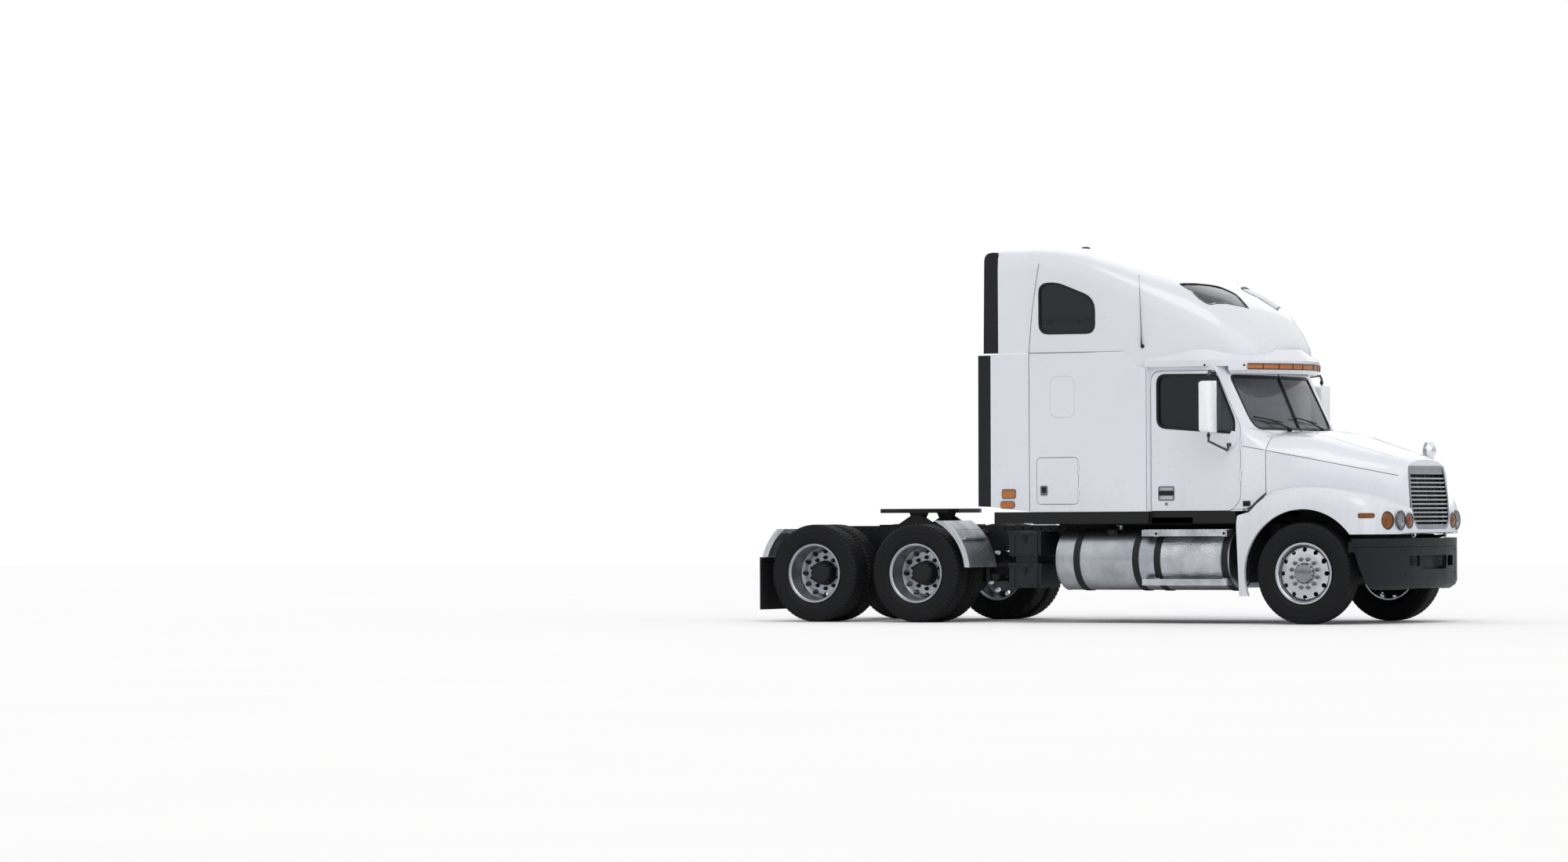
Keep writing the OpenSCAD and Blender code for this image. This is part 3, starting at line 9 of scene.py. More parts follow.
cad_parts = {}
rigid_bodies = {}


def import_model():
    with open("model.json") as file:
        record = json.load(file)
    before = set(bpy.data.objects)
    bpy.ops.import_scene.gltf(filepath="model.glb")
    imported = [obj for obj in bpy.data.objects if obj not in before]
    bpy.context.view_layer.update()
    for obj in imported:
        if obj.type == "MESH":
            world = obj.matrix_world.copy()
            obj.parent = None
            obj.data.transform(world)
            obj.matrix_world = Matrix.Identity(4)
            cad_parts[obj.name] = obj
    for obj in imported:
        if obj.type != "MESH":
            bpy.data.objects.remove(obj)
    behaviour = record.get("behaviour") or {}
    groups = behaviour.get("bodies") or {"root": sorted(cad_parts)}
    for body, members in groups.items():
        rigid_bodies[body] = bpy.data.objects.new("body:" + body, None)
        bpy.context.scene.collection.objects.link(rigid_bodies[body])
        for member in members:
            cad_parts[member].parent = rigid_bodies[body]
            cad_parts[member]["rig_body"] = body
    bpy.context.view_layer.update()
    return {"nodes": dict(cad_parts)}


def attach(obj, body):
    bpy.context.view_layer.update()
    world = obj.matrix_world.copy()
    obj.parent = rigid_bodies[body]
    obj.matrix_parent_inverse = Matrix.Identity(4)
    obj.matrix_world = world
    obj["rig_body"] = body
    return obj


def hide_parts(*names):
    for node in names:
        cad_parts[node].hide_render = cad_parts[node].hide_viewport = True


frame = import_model()
nodes = frame["nodes"]
random.seed(7)
axleShift = -2.4125  # the middle of the drive axles, seen from the middle of the truck
sides = (("right", -1), ("left", 1))


def at(x, y, z):  # a point measured from the middle of the drive axles
    return Vector((x + axleShift, y, z))


print("stage: camera and light")
cameraSet = {"focal": 7128.9, "spot": (27.0685, -53.526, 1.139), "yaw": 0.5274, "pitch": 0.0153, "roll": -0.0052}


def placeCamera(c):
    yaw, pitch, roll = c["yaw"], c["pitch"], c["roll"]
    ahead = Vector((-sin(yaw) * cos(pitch), cos(yaw) * cos(pitch), sin(pitch)))
    right = Vector((cos(yaw), sin(yaw), 0))
    up = right.cross(ahead)
    right, up = cos(roll) * right + sin(roll) * up, cos(roll) * up - sin(roll) * right
    data = bpy.data.cameras.new("camera")
    data.sensor_width = 36
    data.lens = c["focal"] / 2000 * 36
    data.clip_end = 500
    cam = bpy.data.objects.new("camera", data)
    cam.matrix_world = Matrix.Translation(c["spot"]) @ Matrix((right, up, -ahead)).transposed().to_4x4()
    bpy.context.scene.collection.objects.link(cam)
    bpy.context.scene.camera = cam


placeCamera(cameraSet)

lightSet = {
    "world": 0.58,
    "suns": [  # from where, strength, how soft in degrees, colour
        ((0.35, -0.62, 1.0), 1.15, 50, "#fffdf8"),
        ((1.0, -0.25, 0.35), 0.42, 60, "#f4f7ff"),
        ((-0.7, 0.9, 0.7), 0.35, 60, "#f6f8ff"),
    ],
}


def linear(hexText):  # sRGB hex to the linear colour that shaders take
    rgb = [int(hexText[i:i + 2], 16) / 255 for i in (1, 3, 5)]
    return [c / 12.92 if c <= 0.04045 else ((c + 0.055) / 1.055) ** 2.4 for c in rgb] + [1.0]


def addNode(tree, kind, inputs=None, **settings):  # one node with its settings and its links
    node = tree.nodes.new(kind)
    for key, value in settings.items():
        setattr(node, key, value)
    for key, value in (inputs or {}).items():
        if isinstance(value, bpy.types.NodeSocket):
            tree.links.new(value, node.inputs[key])
        else:
            node.inputs[key].default_value = value
    return node


def mathNode(tree, operation, *values):  # the result socket of one arithmetic node
    return addNode(tree, "ShaderNodeMath", dict(enumerate(values)), operation=operation).outputs[0]


def setLight(s):
    for i, (way, power, soft, tint) in enumerate(s["suns"]):
        data = bpy.data.lights.new(f"softSun{i}", "SUN")
        data.energy = power
        data.angle = radians(soft)
        data.color = linear(tint)[:3]
        lamp = bpy.data.objects.new(f"softSun{i}", data)
        lamp.rotation_euler = Vector(way).to_track_quat("Z", "Y").to_euler()
        bpy.context.scene.collection.objects.link(lamp)
    world = bpy.data.worlds.new("studio")
    bpy.context.scene.world = world
    world.use_nodes = True
    tree = world.node_tree
    tree.nodes.clear()
    path = addNode(tree, "ShaderNodeLightPath")
    seen = addNode(tree, "ShaderNodeMath", {0: path.outputs["Is Camera Ray"],
                                            1: path.outputs["Is Transmission Ray"]}, operation="MAXIMUM")
    coord = addNode(tree, "ShaderNodeTexCoord")
    split = addNode(tree, "ShaderNodeSeparateXYZ", {0: coord.outputs["Generated"]})
    ramp = addNode(tree, "ShaderNodeValToRGB", {0: mathNode(tree, "MULTIPLY_ADD", split.outputs["Z"], 0.5, 0.5)})
    ramp.color_ramp.elements[0].color = linear("#7d8189")  # ground that bright metal mirrors
    ramp.color_ramp.elements[1].color = linear("#ffffff")
    ramp.color_ramp.elements[0].position = 0.46
    ramp.color_ramp.elements[1].position = 0.62
    soft = addNode(tree, "ShaderNodeBackground", {"Color": ramp.outputs[0], "Strength": s["world"]})
    white = addNode(tree, "ShaderNodeBackground", {"Color": linear("#ffffff"), "Strength": 1.0})
    glossy = addNode(tree, "ShaderNodeBackground", {"Color": ramp.outputs[0], "Strength": 1.0})
    first = addNode(tree, "ShaderNodeMixShader",
                    {0: path.outputs["Is Glossy Ray"], 1: soft.outputs[0], 2: glossy.outputs[0]})
    both = addNode(tree, "ShaderNodeMixShader", {0: seen.outputs[0], 1: first.outputs[0], 2: white.outputs[0]})
    addNode(tree, "ShaderNodeOutputWorld", {0: both.outputs[0]})
    bpy.context.scene.view_settings.view_transform = "Standard"


setLight(lightSet)

print("stage: materials")


def newMaterial(name, colour, roughness, metallic=0.0, **more):  # a Principled material with its plain values
    mat = bpy.data.materials.new(name)
    mat.use_nodes = True
    tree = mat.node_tree
    shader = tree.nodes["Principled BSDF"]
    shader.inputs["Base Color"].default_value = linear(colour)
    shader.inputs["Roughness"].default_value = roughness
    shader.inputs["Metallic"].default_value = metallic
    for key, value in more.items():
        shader.inputs[key.replace("_", " ")].default_value = value
    return mat, tree, shader


def objectSpace(tree, scale=(1, 1, 1)):  # metres in the truck's own space, stretched
    coord = addNode(tree, "ShaderNodeTexCoord")
    return addNode(tree, "ShaderNodeMapping", {"Vector": coord.outputs["Object"], "Scale": scale}).outputs[0]


def blendColours(tree, factor, low, high):
    mix = addNode(tree, "ShaderNodeMix", data_type="RGBA")
    mix.inputs[6].default_value = linear(low)
    mix.inputs[7].default_value = linear(high)
    tree.links.new(factor, mix.inputs[0])
    return mix.outputs[2]


def ramped(tree, value, low, high, outLow=0.0, outHigh=1.0):
    return addNode(tree, "ShaderNodeMapRange", {0: value, 1: low, 2: high, 3: outLow, 4: outHigh}).outputs[0]


def addBump(tree, shader, height, strength, distance):
    bump = addNode(tree, "ShaderNodeBump", {"Height": height, "Strength": strength, "Distance": distance})
    tree.links.new(bump.outputs[0], shader.inputs["Normal"])


def makePaint(name, clean, lowTone, wavy=0.03):
    # Baked polyurethane over fibreglass and aluminium: gloss with a faint orange peel of about 3 mm, random tone
    # clouds, darker and rougher in streaks towards the bottom
    mat, tree, shader = newMaterial(name, clean, 0.32, Coat_Weight=0.7, Coat_Roughness=0.06)
    space = objectSpace(tree)
    cloud = addNode(tree, "ShaderNodeTexNoise", {"Vector": space, "Scale": 1.3, "Detail": 5.0, "Roughness": 0.6})
    height = addNode(tree, "ShaderNodeSeparateXYZ", {0: space}).outputs["Z"]
    low = ramped(tree, height, 1.75, 0.6)
    streak = addNode(tree, "ShaderNodeTexNoise",
                     {"Vector": objectSpace(tree, (9, 9, 0.7)), "Scale": 2.0, "Detail": 4.0})
    # streaks that darken and roughen the paint below 1.75 m, most below 0.6 m
    lowStreaks = addNode(tree, "ShaderNodeMath", {0: low, 1: streak.outputs[0]}, operation="MULTIPLY")
    darkening = addNode(tree, "ShaderNodeMath", {0: ramped(tree, cloud.outputs[0], 0.35, 0.8, 0.0, 0.16),
                                             1: ramped(tree, lowStreaks.outputs[0], 0.1, 0.7, 0.0, 0.5)}, operation="ADD")
    tree.links.new(blendColours(tree, darkening.outputs[0], clean, lowTone), shader.inputs["Base Color"])
    tree.links.new(ramped(tree, darkening.outputs[0], 0.0, 0.6, 0.24, 0.5), shader.inputs["Roughness"])
    peel = addNode(tree, "ShaderNodeTexNoise", {"Vector": space, "Scale": 330.0, "Detail": 1.0})  # 3 mm peel
    # 400 mm panel waves
    panel = addNode(tree, "ShaderNodeTexNoise", {"Vector": space, "Scale": 2.4, "Detail": 1.0})
    total = addNode(tree, "ShaderNodeMath", {0: peel.outputs[0], 1: 0.02, 2: panel.outputs[0]},
                    operation="MULTIPLY_ADD")
    addBump(tree, shader, total.outputs[0], wavy, 0.02)
    return mat


whitePaint = makePaint("polyurethaneWhitePaint", "#dfe2ea", "#b9bbc0")
cowlPaint = makePaint("polyurethaneWhiteRoofPaint", "#dde0e7", "#c3c6cb", 0.02)


def makeSatinBlack(name, dark, worn, grain=90.0, rough=(0.35, 0.6), metallic=0.0):
    # Chassis enamel sprayed on steel: near-black satin, greyed where road dust lies
    mat, tree, shader = newMaterial(name, dark, 0.45, metallic, Specular_IOR_Level=0.3)
    space = objectSpace(tree)
    dust = addNode(tree, "ShaderNodeTexNoise", {"Vector": space, "Scale": 5.0, "Detail": 8.0, "Roughness": 0.7})
    face = addNode(tree, "ShaderNodeSeparateXYZ",
                   {0: addNode(tree, "ShaderNodeNewGeometry").outputs["Normal"]}).outputs["Z"]
    lying = addNode(tree, "ShaderNodeMath", {0: ramped(tree, face, 0.2, 1.0, 0.25, 1.0),
                                             1: ramped(tree, dust.outputs[0], 0.35, 0.75)}, operation="MULTIPLY")
    tree.links.new(blendColours(tree, lying.outputs[0], dark, worn), shader.inputs["Base Color"])
    tree.links.new(ramped(tree, dust.outputs[0], 0.3, 0.7, rough[0], rough[1]), shader.inputs["Roughness"])
    fine = addNode(tree, "ShaderNodeTexNoise", {"Vector": space, "Scale": grain, "Detail": 3.0})
    addBump(tree, shader, fine.outputs[0], 0.25, 0.002)
    return mat


chassisEnamel = makeSatinBlack("chassisEnamel", "#0d0e11", "#2c2e31")
springSteel = makeSatinBlack("blackSpringSteel", "#141518", "#35332f", 140.0, (0.4, 0.7), 0.3)
# blue-black boxes, slight sheen
boxPowder = makeSatinBlack("powderCoatedSteel", "#12151b", "#23272e", 260.0, (0.35, 0.5))
castIron = makeSatinBlack("castIron", "#232527", "#3d3a36", 60.0, (0.6, 0.85))
# dark grease film
greasedSteel = makeSatinBlack("greasedPlateSteel", "#1b1c1e", "#3b3632", 30.0, (0.18, 0.5), 0.6)


def makeBumperPlastic():
    # Moulded TPO: charcoal, fine 1.5 mm leather grain, pale scuffs near the lower edge
    mat, tree, shader = newMaterial("mouldedBumperPlastic", "#0e1117", 0.55, Specular_IOR_Level=0.2)
    space = objectSpace(tree)
    cloud = addNode(tree, "ShaderNodeTexNoise", {"Vector": space, "Scale": 2.2, "Detail": 6.0})
    height = addNode(tree, "ShaderNodeSeparateXYZ", {0: space}).outputs["Z"]
    fade = addNode(tree, "ShaderNodeMath", {0: ramped(tree, height, 0.35, 0.8, 0.5, 0.0),
                                            1: ramped(tree, cloud.outputs[0], 0.3, 0.7, 0.0, 0.5)}, operation="ADD")
    tree.links.new(blendColours(tree, fade.outputs[0], "#0e1117", "#1a1d23"), shader.inputs["Base Color"])
    tree.links.new(ramped(tree, cloud.outputs[0], 0.3, 0.7, 0.4, 0.58), shader.inputs["Roughness"])
    grain = addNode(tree, "ShaderNodeTexVoronoi", {"Vector": space, "Scale": 640.0})
    addBump(tree, shader, grain.outputs["Distance"], 0.25, 0.0008)
    return mat


bumperPlastic = makeBumperPlastic()


def makeBrushed(name, bright, dull, stretch, rough, wave=0.0):
    # Aluminium sheet: fine rolling or spinning lines, milky oxide clouds
    mat, tree, shader = newMaterial(name, bright, rough, 1.0)
    lines = addNode(tree, "ShaderNodeTexNoise",
                    {"Vector": objectSpace(tree, stretch), "Scale": 60.0, "Detail": 3.0})
    space = objectSpace(tree)
    cloud = addNode(tree, "ShaderNodeTexNoise", {"Vector": space, "Scale": 3.2, "Detail": 7.0, "Roughness": 0.65})
    tree.links.new(blendColours(tree, ramped(tree, cloud.outputs[0], 0.35, 0.72), bright, dull),
                   shader.inputs["Base Color"])
    spread = addNode(tree, "ShaderNodeMath", {0: ramped(tree, lines.outputs[0], 0.3, 0.7, rough - 0.06,
                                                        rough + 0.08), 1: ramped(tree, cloud.outputs[0], 0.3, 0.7,
                                                                                 -0.04, 0.08)}, operation="ADD")
    tree.links.new(spread.outputs[0], shader.inputs["Roughness"])
    mixed = addNode(tree, "ShaderNodeMath", {0: cloud.outputs[0], 1: wave,
                                             2: mathNode(tree, "MULTIPLY", lines.outputs[0],
                                                         0.05)}, operation="MULTIPLY_ADD")
    addBump(tree, shader, mixed.outputs[0], 0.3, 0.004)
    return mat


tankAluminium = makeBrushed("spunTankAluminium", "#b6bac1", "#8f939a", (1.0, 14.0, 14.0), 0.34, 0.6)
forgedPolish = makeBrushed("polishedForgedAluminium", "#c9ccd1", "#bcbfc5", (8.0, 8.0, 8.0), 0.25)
diskAluminium = makeBrushed("machinedWheelAluminium", "#b9bcc3", "#8f939a", (10.0, 10.0, 10.0), 0.36)
grilleAluminium = makeBrushed("anodisedGrilleAluminium", "#a9adb3", "#8f9399", (6.0, 0.5, 20.0), 0.3)


def makeEmbossed(name, scale, depth, rough):
    # Pebbled or checkered sheet: 12 mm bumps pressed from the back
    mat, tree, shader = newMaterial(name, "#c6c9ce", rough, 1.0)
    space = objectSpace(tree)
    cells = addNode(tree, "ShaderNodeTexVoronoi", {"Vector": space, "Scale": scale, "Randomness": 0.75})
    cloud = addNode(tree, "ShaderNodeTexNoise", {"Vector": space, "Scale": 5.0, "Detail": 6.0})
    tree.links.new(blendColours(tree, ramped(tree, cloud.outputs[0], 0.3, 0.7), "#cfd2d7", "#9ea2a8"),
                   shader.inputs["Base Color"])
    tree.links.new(ramped(tree, cells.outputs["Distance"], 0.0, 0.6, rough - 0.08, rough + 0.12),
                   shader.inputs["Roughness"])
    addBump(tree, shader, cells.outputs["Distance"], 0.8, depth)
    return mat


pebbleAluminium = makeEmbossed("pebbledFenderAluminium", 62.0, 0.004, 0.36)
treadAluminium = makeEmbossed("stepTreadAluminium", 46.0, 0.005, 0.34)


def makeTyreRubber():
    # Vulcanised rubber with carbon black: matt blue-black, browner dust in the tread
    mat, tree, shader = newMaterial("tyreRubber", "#0a0b0e", 0.78, Specular_IOR_Level=0.2)
    space = objectSpace(tree)
    dust = addNode(tree, "ShaderNodeTexNoise", {"Vector": space, "Scale": 7.0, "Detail": 7.0, "Roughness": 0.7})
    tree.links.new(blendColours(tree, ramped(tree, dust.outputs[0], 0.35, 0.75), "#090a0d", "#151619"),
                   shader.inputs["Base Color"])
    tree.links.new(ramped(tree, dust.outputs[0], 0.3, 0.7, 0.55, 0.8), shader.inputs["Roughness"])
    fine = addNode(tree, "ShaderNodeTexNoise", {"Vector": space, "Scale": 420.0, "Detail": 2.0})
    addBump(tree, shader, fine.outputs[0], 0.3, 0.0008)
    return mat


tyreRubber = makeTyreRubber()
# cab gap seals and flaps
sheetRubber = makeSatinBlack("extrudedRubber", "#111216", "#1d1f23", 320.0, (0.5, 0.68))
# glazing rubber, nearly black
gasketRubber = makeSatinBlack("gasketRubber", "#08090b", "#111214", 400.0, (0.35, 0.5))
# wipers, tubes, louvres
trimPlastic = makeSatinBlack("blackTrimPlastic", "#0b0c0e", "#17181b", 300.0, (0.4, 0.55))


def makeLens(name, colour, deep, ribs, alpha=1.0, split=None):
    # Moulded polycarbonate lens: gloss skin over vertical optic ribs
    mat, tree, shader = newMaterial(name, colour, 0.22, Coat_Weight=0.2, Coat_Roughness=0.03, Alpha=alpha)
    space = objectSpace(tree)
    if ribs:
        wave = addNode(tree, "ShaderNodeTexWave", {"Vector": space, "Scale": ribs, "Distortion": 0.0},
                       bands_direction="Y")
        tree.links.new(blendColours(tree, ramped(tree, wave.outputs["Fac"], 0.0, 1.0), deep, colour),
                       shader.inputs["Base Color"])
        addBump(tree, shader, wave.outputs["Fac"], 0.4, 0.002)
    if split:
        far = addNode(tree, "ShaderNodeSeparateXYZ", {0: space}).outputs["X"]
        cloud = addNode(tree, "ShaderNodeTexNoise", {"Vector": space, "Scale": 40.0})
        amber = blendColours(tree, cloud.outputs[0], deep, colour)
        red = addNode(tree, "ShaderNodeMix", {6: linear("#8c1410"), 7: amber,
                                              0: ramped(tree, far, split - 0.01, split + 0.01)}, data_type="RGBA")
        tree.links.new(red.outputs[2], shader.inputs["Base Color"])
    return mat


markerLens = makeLens("markerLampPolycarbonate", "#c77b3d", "#8e4d20", 0, split=-3.2)
clearLens = makeLens("clearPolycarbonate", "#eef2f5", "#dfe5ea", 0, 0.16)


def makeGlass():
    # Laminated and privacy glass: the windshield is light grey with a painted visor shade along its top, the
    # sleeper and door panes nearly black
    mat, tree, shader = newMaterial("tintedSafetyGlass", "#1b2127", 0.03, Coat_Weight=0.3, Coat_Roughness=0.01)
    split = addNode(tree, "ShaderNodeSeparateXYZ", {0: objectSpace(tree)})
    ahead = ramped(tree, split.outputs["X"], 1.5, 1.7)
    low = ramped(tree, split.outputs["Z"], 2.9, 2.7)
    clear = addNode(tree, "ShaderNodeMath", {0: ahead, 1: low}, operation="MULTIPLY")
    visorShadeBand = ramped(tree, split.outputs["Z"], 2.42, 2.52)  # painted shade of the roof visor along the top of the windshield, also standing for the sun visors inside
    open_ = addNode(tree, "ShaderNodeMath", {0: clear.outputs[0], 1: ramped(tree, visorShadeBand, 0.0, 1.0, 1.0, 0.25)},
                    operation="MULTIPLY")
    tree.links.new(blendColours(tree, open_.outputs[0], "#151a20", "#59616b"), shader.inputs["Base Color"])
    tree.links.new(ramped(tree, open_.outputs[0], 0.0, 1.0, 0.93, 0.5), shader.inputs["Alpha"])
    return mat


tintedGlass = makeGlass()

print("stage: helpers")
truck = {"steerX": 5163, "cabHalf": 1140, "sleeperHalf": 1200, "doorX": 4442, "doorBack": 3404,
         "sleeperBack": 2000, "wheelZ": 525, "noseLean": 5.54}  # millimetres from the middle of the drive axles
steerX, cabHalf, sleeperHalf = truck["steerX"], truck["cabHalf"], truck["sleeperHalf"]
doorX, doorBack, sleeperBack, wheelZ = truck["doorX"], truck["doorBack"], truck["sleeperBack"], truck["wheelZ"]


def mm(x, y, z):  # a point given in millimetres from the middle of the drive axles
    return Vector((x / 1000 + axleShift, y / 1000, z / 1000))


def bodyOf(node):
    return nodes[node]["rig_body"]


def makePiece(name, bm, mat, body, smoothAngle=38, bevel=0.0, segments=2, subdivide=0):
    # Turns a filled bmesh into a piece that rides on its body
    bmesh.ops.remove_doubles(bm, verts=bm.verts, dist=1e-6)
    bmesh.ops.recalc_face_normals(bm, faces=bm.faces)
    for f in bm.faces:
        f.smooth = True
    for e in bm.edges:
        e.smooth = len(e.link_faces) == 2 and e.calc_face_angle(0.0) < radians(smoothAngle)
    mesh = bpy.data.meshes.new(name)
    bm.to_mesh(mesh)
    bm.free()
    obj = bpy.data.objects.new(name, mesh)
    bpy.context.scene.collection.objects.link(obj)
    for m in mat if isinstance(mat, (list, tuple)) else [mat]:
        mesh.materials.append(m)
    if bevel:
        mod = obj.modifiers.new("softEdge", "BEVEL")
        mod.width = bevel
        mod.segments = segments
        mod.limit_method = "ANGLE"
        mod.angle_limit = radians(smoothAngle)
    if subdivide:
        mod = obj.modifiers.new("rounded", "SUBSURF")
        mod.levels = mod.render_levels = subdivide
    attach(obj, body)
    return obj


def addBox(bm, lo, hi):
    x0, y0, z0 = (min(a, b) for a, b in zip(lo, hi))
    x1, y1, z1 = (max(a, b) for a, b in zip(lo, hi))
    v = [bm.verts.new((x, y, z)) for x in (x0, x1) for y in (y0, y1) for z in (z0, z1)]
    return [bm.faces.new([v[i] for i in q]) for q in
            ((0, 1, 3, 2), (4, 6, 7, 5), (0, 4, 5, 1), (2, 3, 7, 6), (0, 2, 6, 4), (1, 5, 7, 3))]


def addTube(bm, points, radius, sides=8, closed=False):
    pts = [Vector(p) for p in points]
    n = len(pts)
    rings, side = [], None
    for i, p in enumerate(pts):
        a = pts[i - 1] if closed or i else p
        b = pts[(i + 1) % n] if closed or i < n - 1 else p
        t = (b - a).normalized()
        side = (side - t * side.dot(t)).normalized() if side is not None else t.orthogonal().normalized()
        other = t.cross(side)
        r = radius[i] if isinstance(radius, (list, tuple)) else radius
        rings.append([bm.verts.new(p + (side * cos(2 * pi * k / sides) + other * sin(2 * pi * k / sides)) * r)
                      for k in range(sides)])
    for i in range(n if closed else n - 1):
        a, b = rings[i], rings[(i + 1) % n]
        turn = 0
        if closed and i == n - 1:
            turn = min(range(sides), key=lambda s: (a[0].co - b[s].co).length)
        for k in range(sides):
            bm.faces.new((a[k], a[(k + 1) % sides], b[(k + 1 + turn) % sides], b[(k + turn) % sides]))
    if not closed:
        bm.faces.new(rings[0][::-1])
        bm.faces.new(rings[-1])


def addLathe(bm, profile, origin, axis, steps=40, phase=0.0):
    # profile: radius and height along the axis, in metres; closes to the axis where the radius is 0
    axis = Vector(axis).normalized()
    side = axis.orthogonal().normalized()
    other = axis.cross(side)
    rings = []
    for r, h in profile:
        c = Vector(origin) + axis * h
        if r < 1e-6:
            rings.append([bm.verts.new(c)])
        else:
            turns = [phase + 2 * pi * k / steps for k in range(steps)]
            rings.append([bm.verts.new(c + (side * cos(t) + other * sin(t)) * r) for t in turns])
    for a, b in zip(rings, rings[1:]):
        for k in range(steps):
            q = [a[k % len(a)], a[(k + 1) % steps % len(a)], b[(k + 1) % steps % len(b)], b[k % len(b)]]
            q = [v for i, v in enumerate(q) if v not in q[:i]]
            if len(q) > 2:
                bm.faces.new(q)


def addPlate(bm, outline, depth):
    # closed plate from a loop of points and a depth vector
    low = [bm.verts.new(p) for p in outline]
    top = [bm.verts.new(Vector(p) + Vector(depth)) for p in outline]
    n = len(low)
    bm.faces.new(low[::-1])
    bm.faces.new(top)
    for i in range(n):
        bm.faces.new((low[i], low[(i + 1) % n], top[(i + 1) % n], top[i]))


def addRing(bm, inner, outer, depth):
    # closed frame between two loops with equal point counts
    depth = Vector(depth)
    loops = [[bm.verts.new(Vector(p) + d) for p in loop] for d in (Vector((0, 0, 0)), depth) for loop in (inner,
                                                                                                          outer)]
    a, b, c, d = loops
    n = len(a)
    for i in range(n):
        j = (i + 1) % n
        for p, q in ((a, b), (b, d), (d, c), (c, a)):
            bm.faces.new((p[i], p[j], q[j], q[i]))


def addBolt(bm, spot, way, size=0.018, height=0.010):
    # hexagon head on a washer
    way = Vector(way).normalized()
    addLathe(bm, [(0, 0), (size * 0.72, 0), (size * 0.72, height * 0.22), (0, height * 0.22)], spot, way, 14)
    addLathe(bm, [(size * 0.5, height * 0.2), (size * 0.5, height * 0.86), (size * 0.42, height), (0, height)],
             spot, way, 6)


def soften(points, radii):
    # rounds each corner of a loop over the given length, in the loop's own units
    out, n = [], len(points)
    for i, v in enumerate(points):
        v = Vector(v)
        a, b = Vector(points[i - 1]) - v, Vector(points[(i + 1) % n]) - v
        k = radii[i] if isinstance(radii, (list, tuple)) else radii
        p, q = v + a.normalized() * k, v + b.normalized() * k
        for t in ((0, 0.25, 0.5, 0.75, 1) if k > 0 else (0,)):
            out.append(p * (1 - t) ** 2 + v * 2 * t * (1 - t) + q * t * t)
    return out


def grow(loop, amount):
    # moves a flat counter-clockwise loop outward by an amount
    out, n = [], len(loop)
    area = sum(loop[i - 1][0] * loop[i][1] - loop[i][0] * loop[i - 1][1] for i in range(n))
    sign = 1 if area > 0 else -1
    for i in range(n):
        a, p, b = Vector(loop[i - 1]), Vector(loop[i]), Vector(loop[(i + 1) % n])
        d = ((p - a).normalized() + (b - p).normalized()).normalized()
        out.append(p + Vector((d[1], -d[0])) * amount * sign)
    return out


treeCache = {}


def touch(names, start, way):  # where a ray first meets those CAD nodes
    key = tuple(names)
    if key not in treeCache:
        verts, polys = [], []
        for n in names:
            base = len(verts)
            verts += [v.co.copy() for v in nodes[n].data.vertices]
            polys += [[base + i for i in p.vertices] for p in nodes[n].data.polygons]
        treeCache[key] = BVHTree.FromPolygons(verts, polys)
    spot, normal = treeCache[key].ray_cast(Vector(start), Vector(way).normalized())[:2]
    return spot, normal


def drape(names, points, way, step=0.03, lift=0.0):
    # samples a polyline and drops each sample on the nodes along way
    out = []
    for a, b in zip(points, points[1:]):
        a, b = Vector(a), Vector(b)
        count = max(1, int((b - a).length / step))
        for i in range(count + (1 if b == Vector(points[-1]) else 0)):
            spot, normal = touch(names, a.lerp(b, i / count), way)
            if spot is not None:
                out.append(spot + normal * lift)
    return out


print("stage: CAD node finishes")


def masked(mat, other, axisName, low, high, flip=False):
    # one material where a coordinate of the truck is above the limit, another below it
    tree = mat.node_tree
    space = objectSpace(tree)
    value = addNode(tree, "ShaderNodeSeparateXYZ", {0: space}).outputs[axisName]
    value = mathNode(tree, "ABSOLUTE", value)
    factor = ramped(tree, value, low, high, 1.0 if flip else 0.0, 0.0 if flip else 1.0)
    for key in ("Base Color", "Roughness", "Metallic", "Alpha"):
        if key in other:
            socket = tree.nodes["Principled BSDF"].inputs[key]
            was = socket.links[0].from_socket if socket.links else None
            if key == "Base Color":
                mix = addNode(tree, "ShaderNodeMix", data_type="RGBA")
                if was:
                    tree.links.new(was, mix.inputs[6])
                else:
                    mix.inputs[6].default_value = socket.default_value
                mix.inputs[7].default_value = linear(other[key])
                tree.links.new(factor, mix.inputs[0])
                tree.links.new(mix.outputs[2], socket)
            else:
                mix = addNode(tree, "ShaderNodeMix", {0: factor}, data_type="FLOAT")
                if was:
                    tree.links.new(was, mix.inputs[2])
                else:
                    mix.inputs[2].default_value = socket.default_value
                mix.inputs[3].default_value = other[key]
                tree.links.new(mix.outputs[0], socket)
    return mat


chromeFinish = makeBrushed("chromePlate", "#8f9399", "#82868c", (5.0, 5.0, 5.0), 0.09)
mirrorHead = masked(masked(makePaint("mirrorHeadPaint", "#f1f3f6", "#cfd1d4"),
                           {"Base Color": "#16181b", "Roughness": 0.5}, "Z", 2.521, 2.523),
                    {"Base Color": "#16181b", "Roughness": 0.5}, "Z", 1.983, 1.985, True)
hoodMirrorFinish = masked(makeBrushed("hoodMirrorChrome", "#eceef1", "#d9dce0", (5.0, 5.0, 5.0), 0.12),
                          {"Base Color": "#1a1c1f", "Metallic": 0.0, "Roughness": 0.5}, "Z", 1.690, 1.694, True)


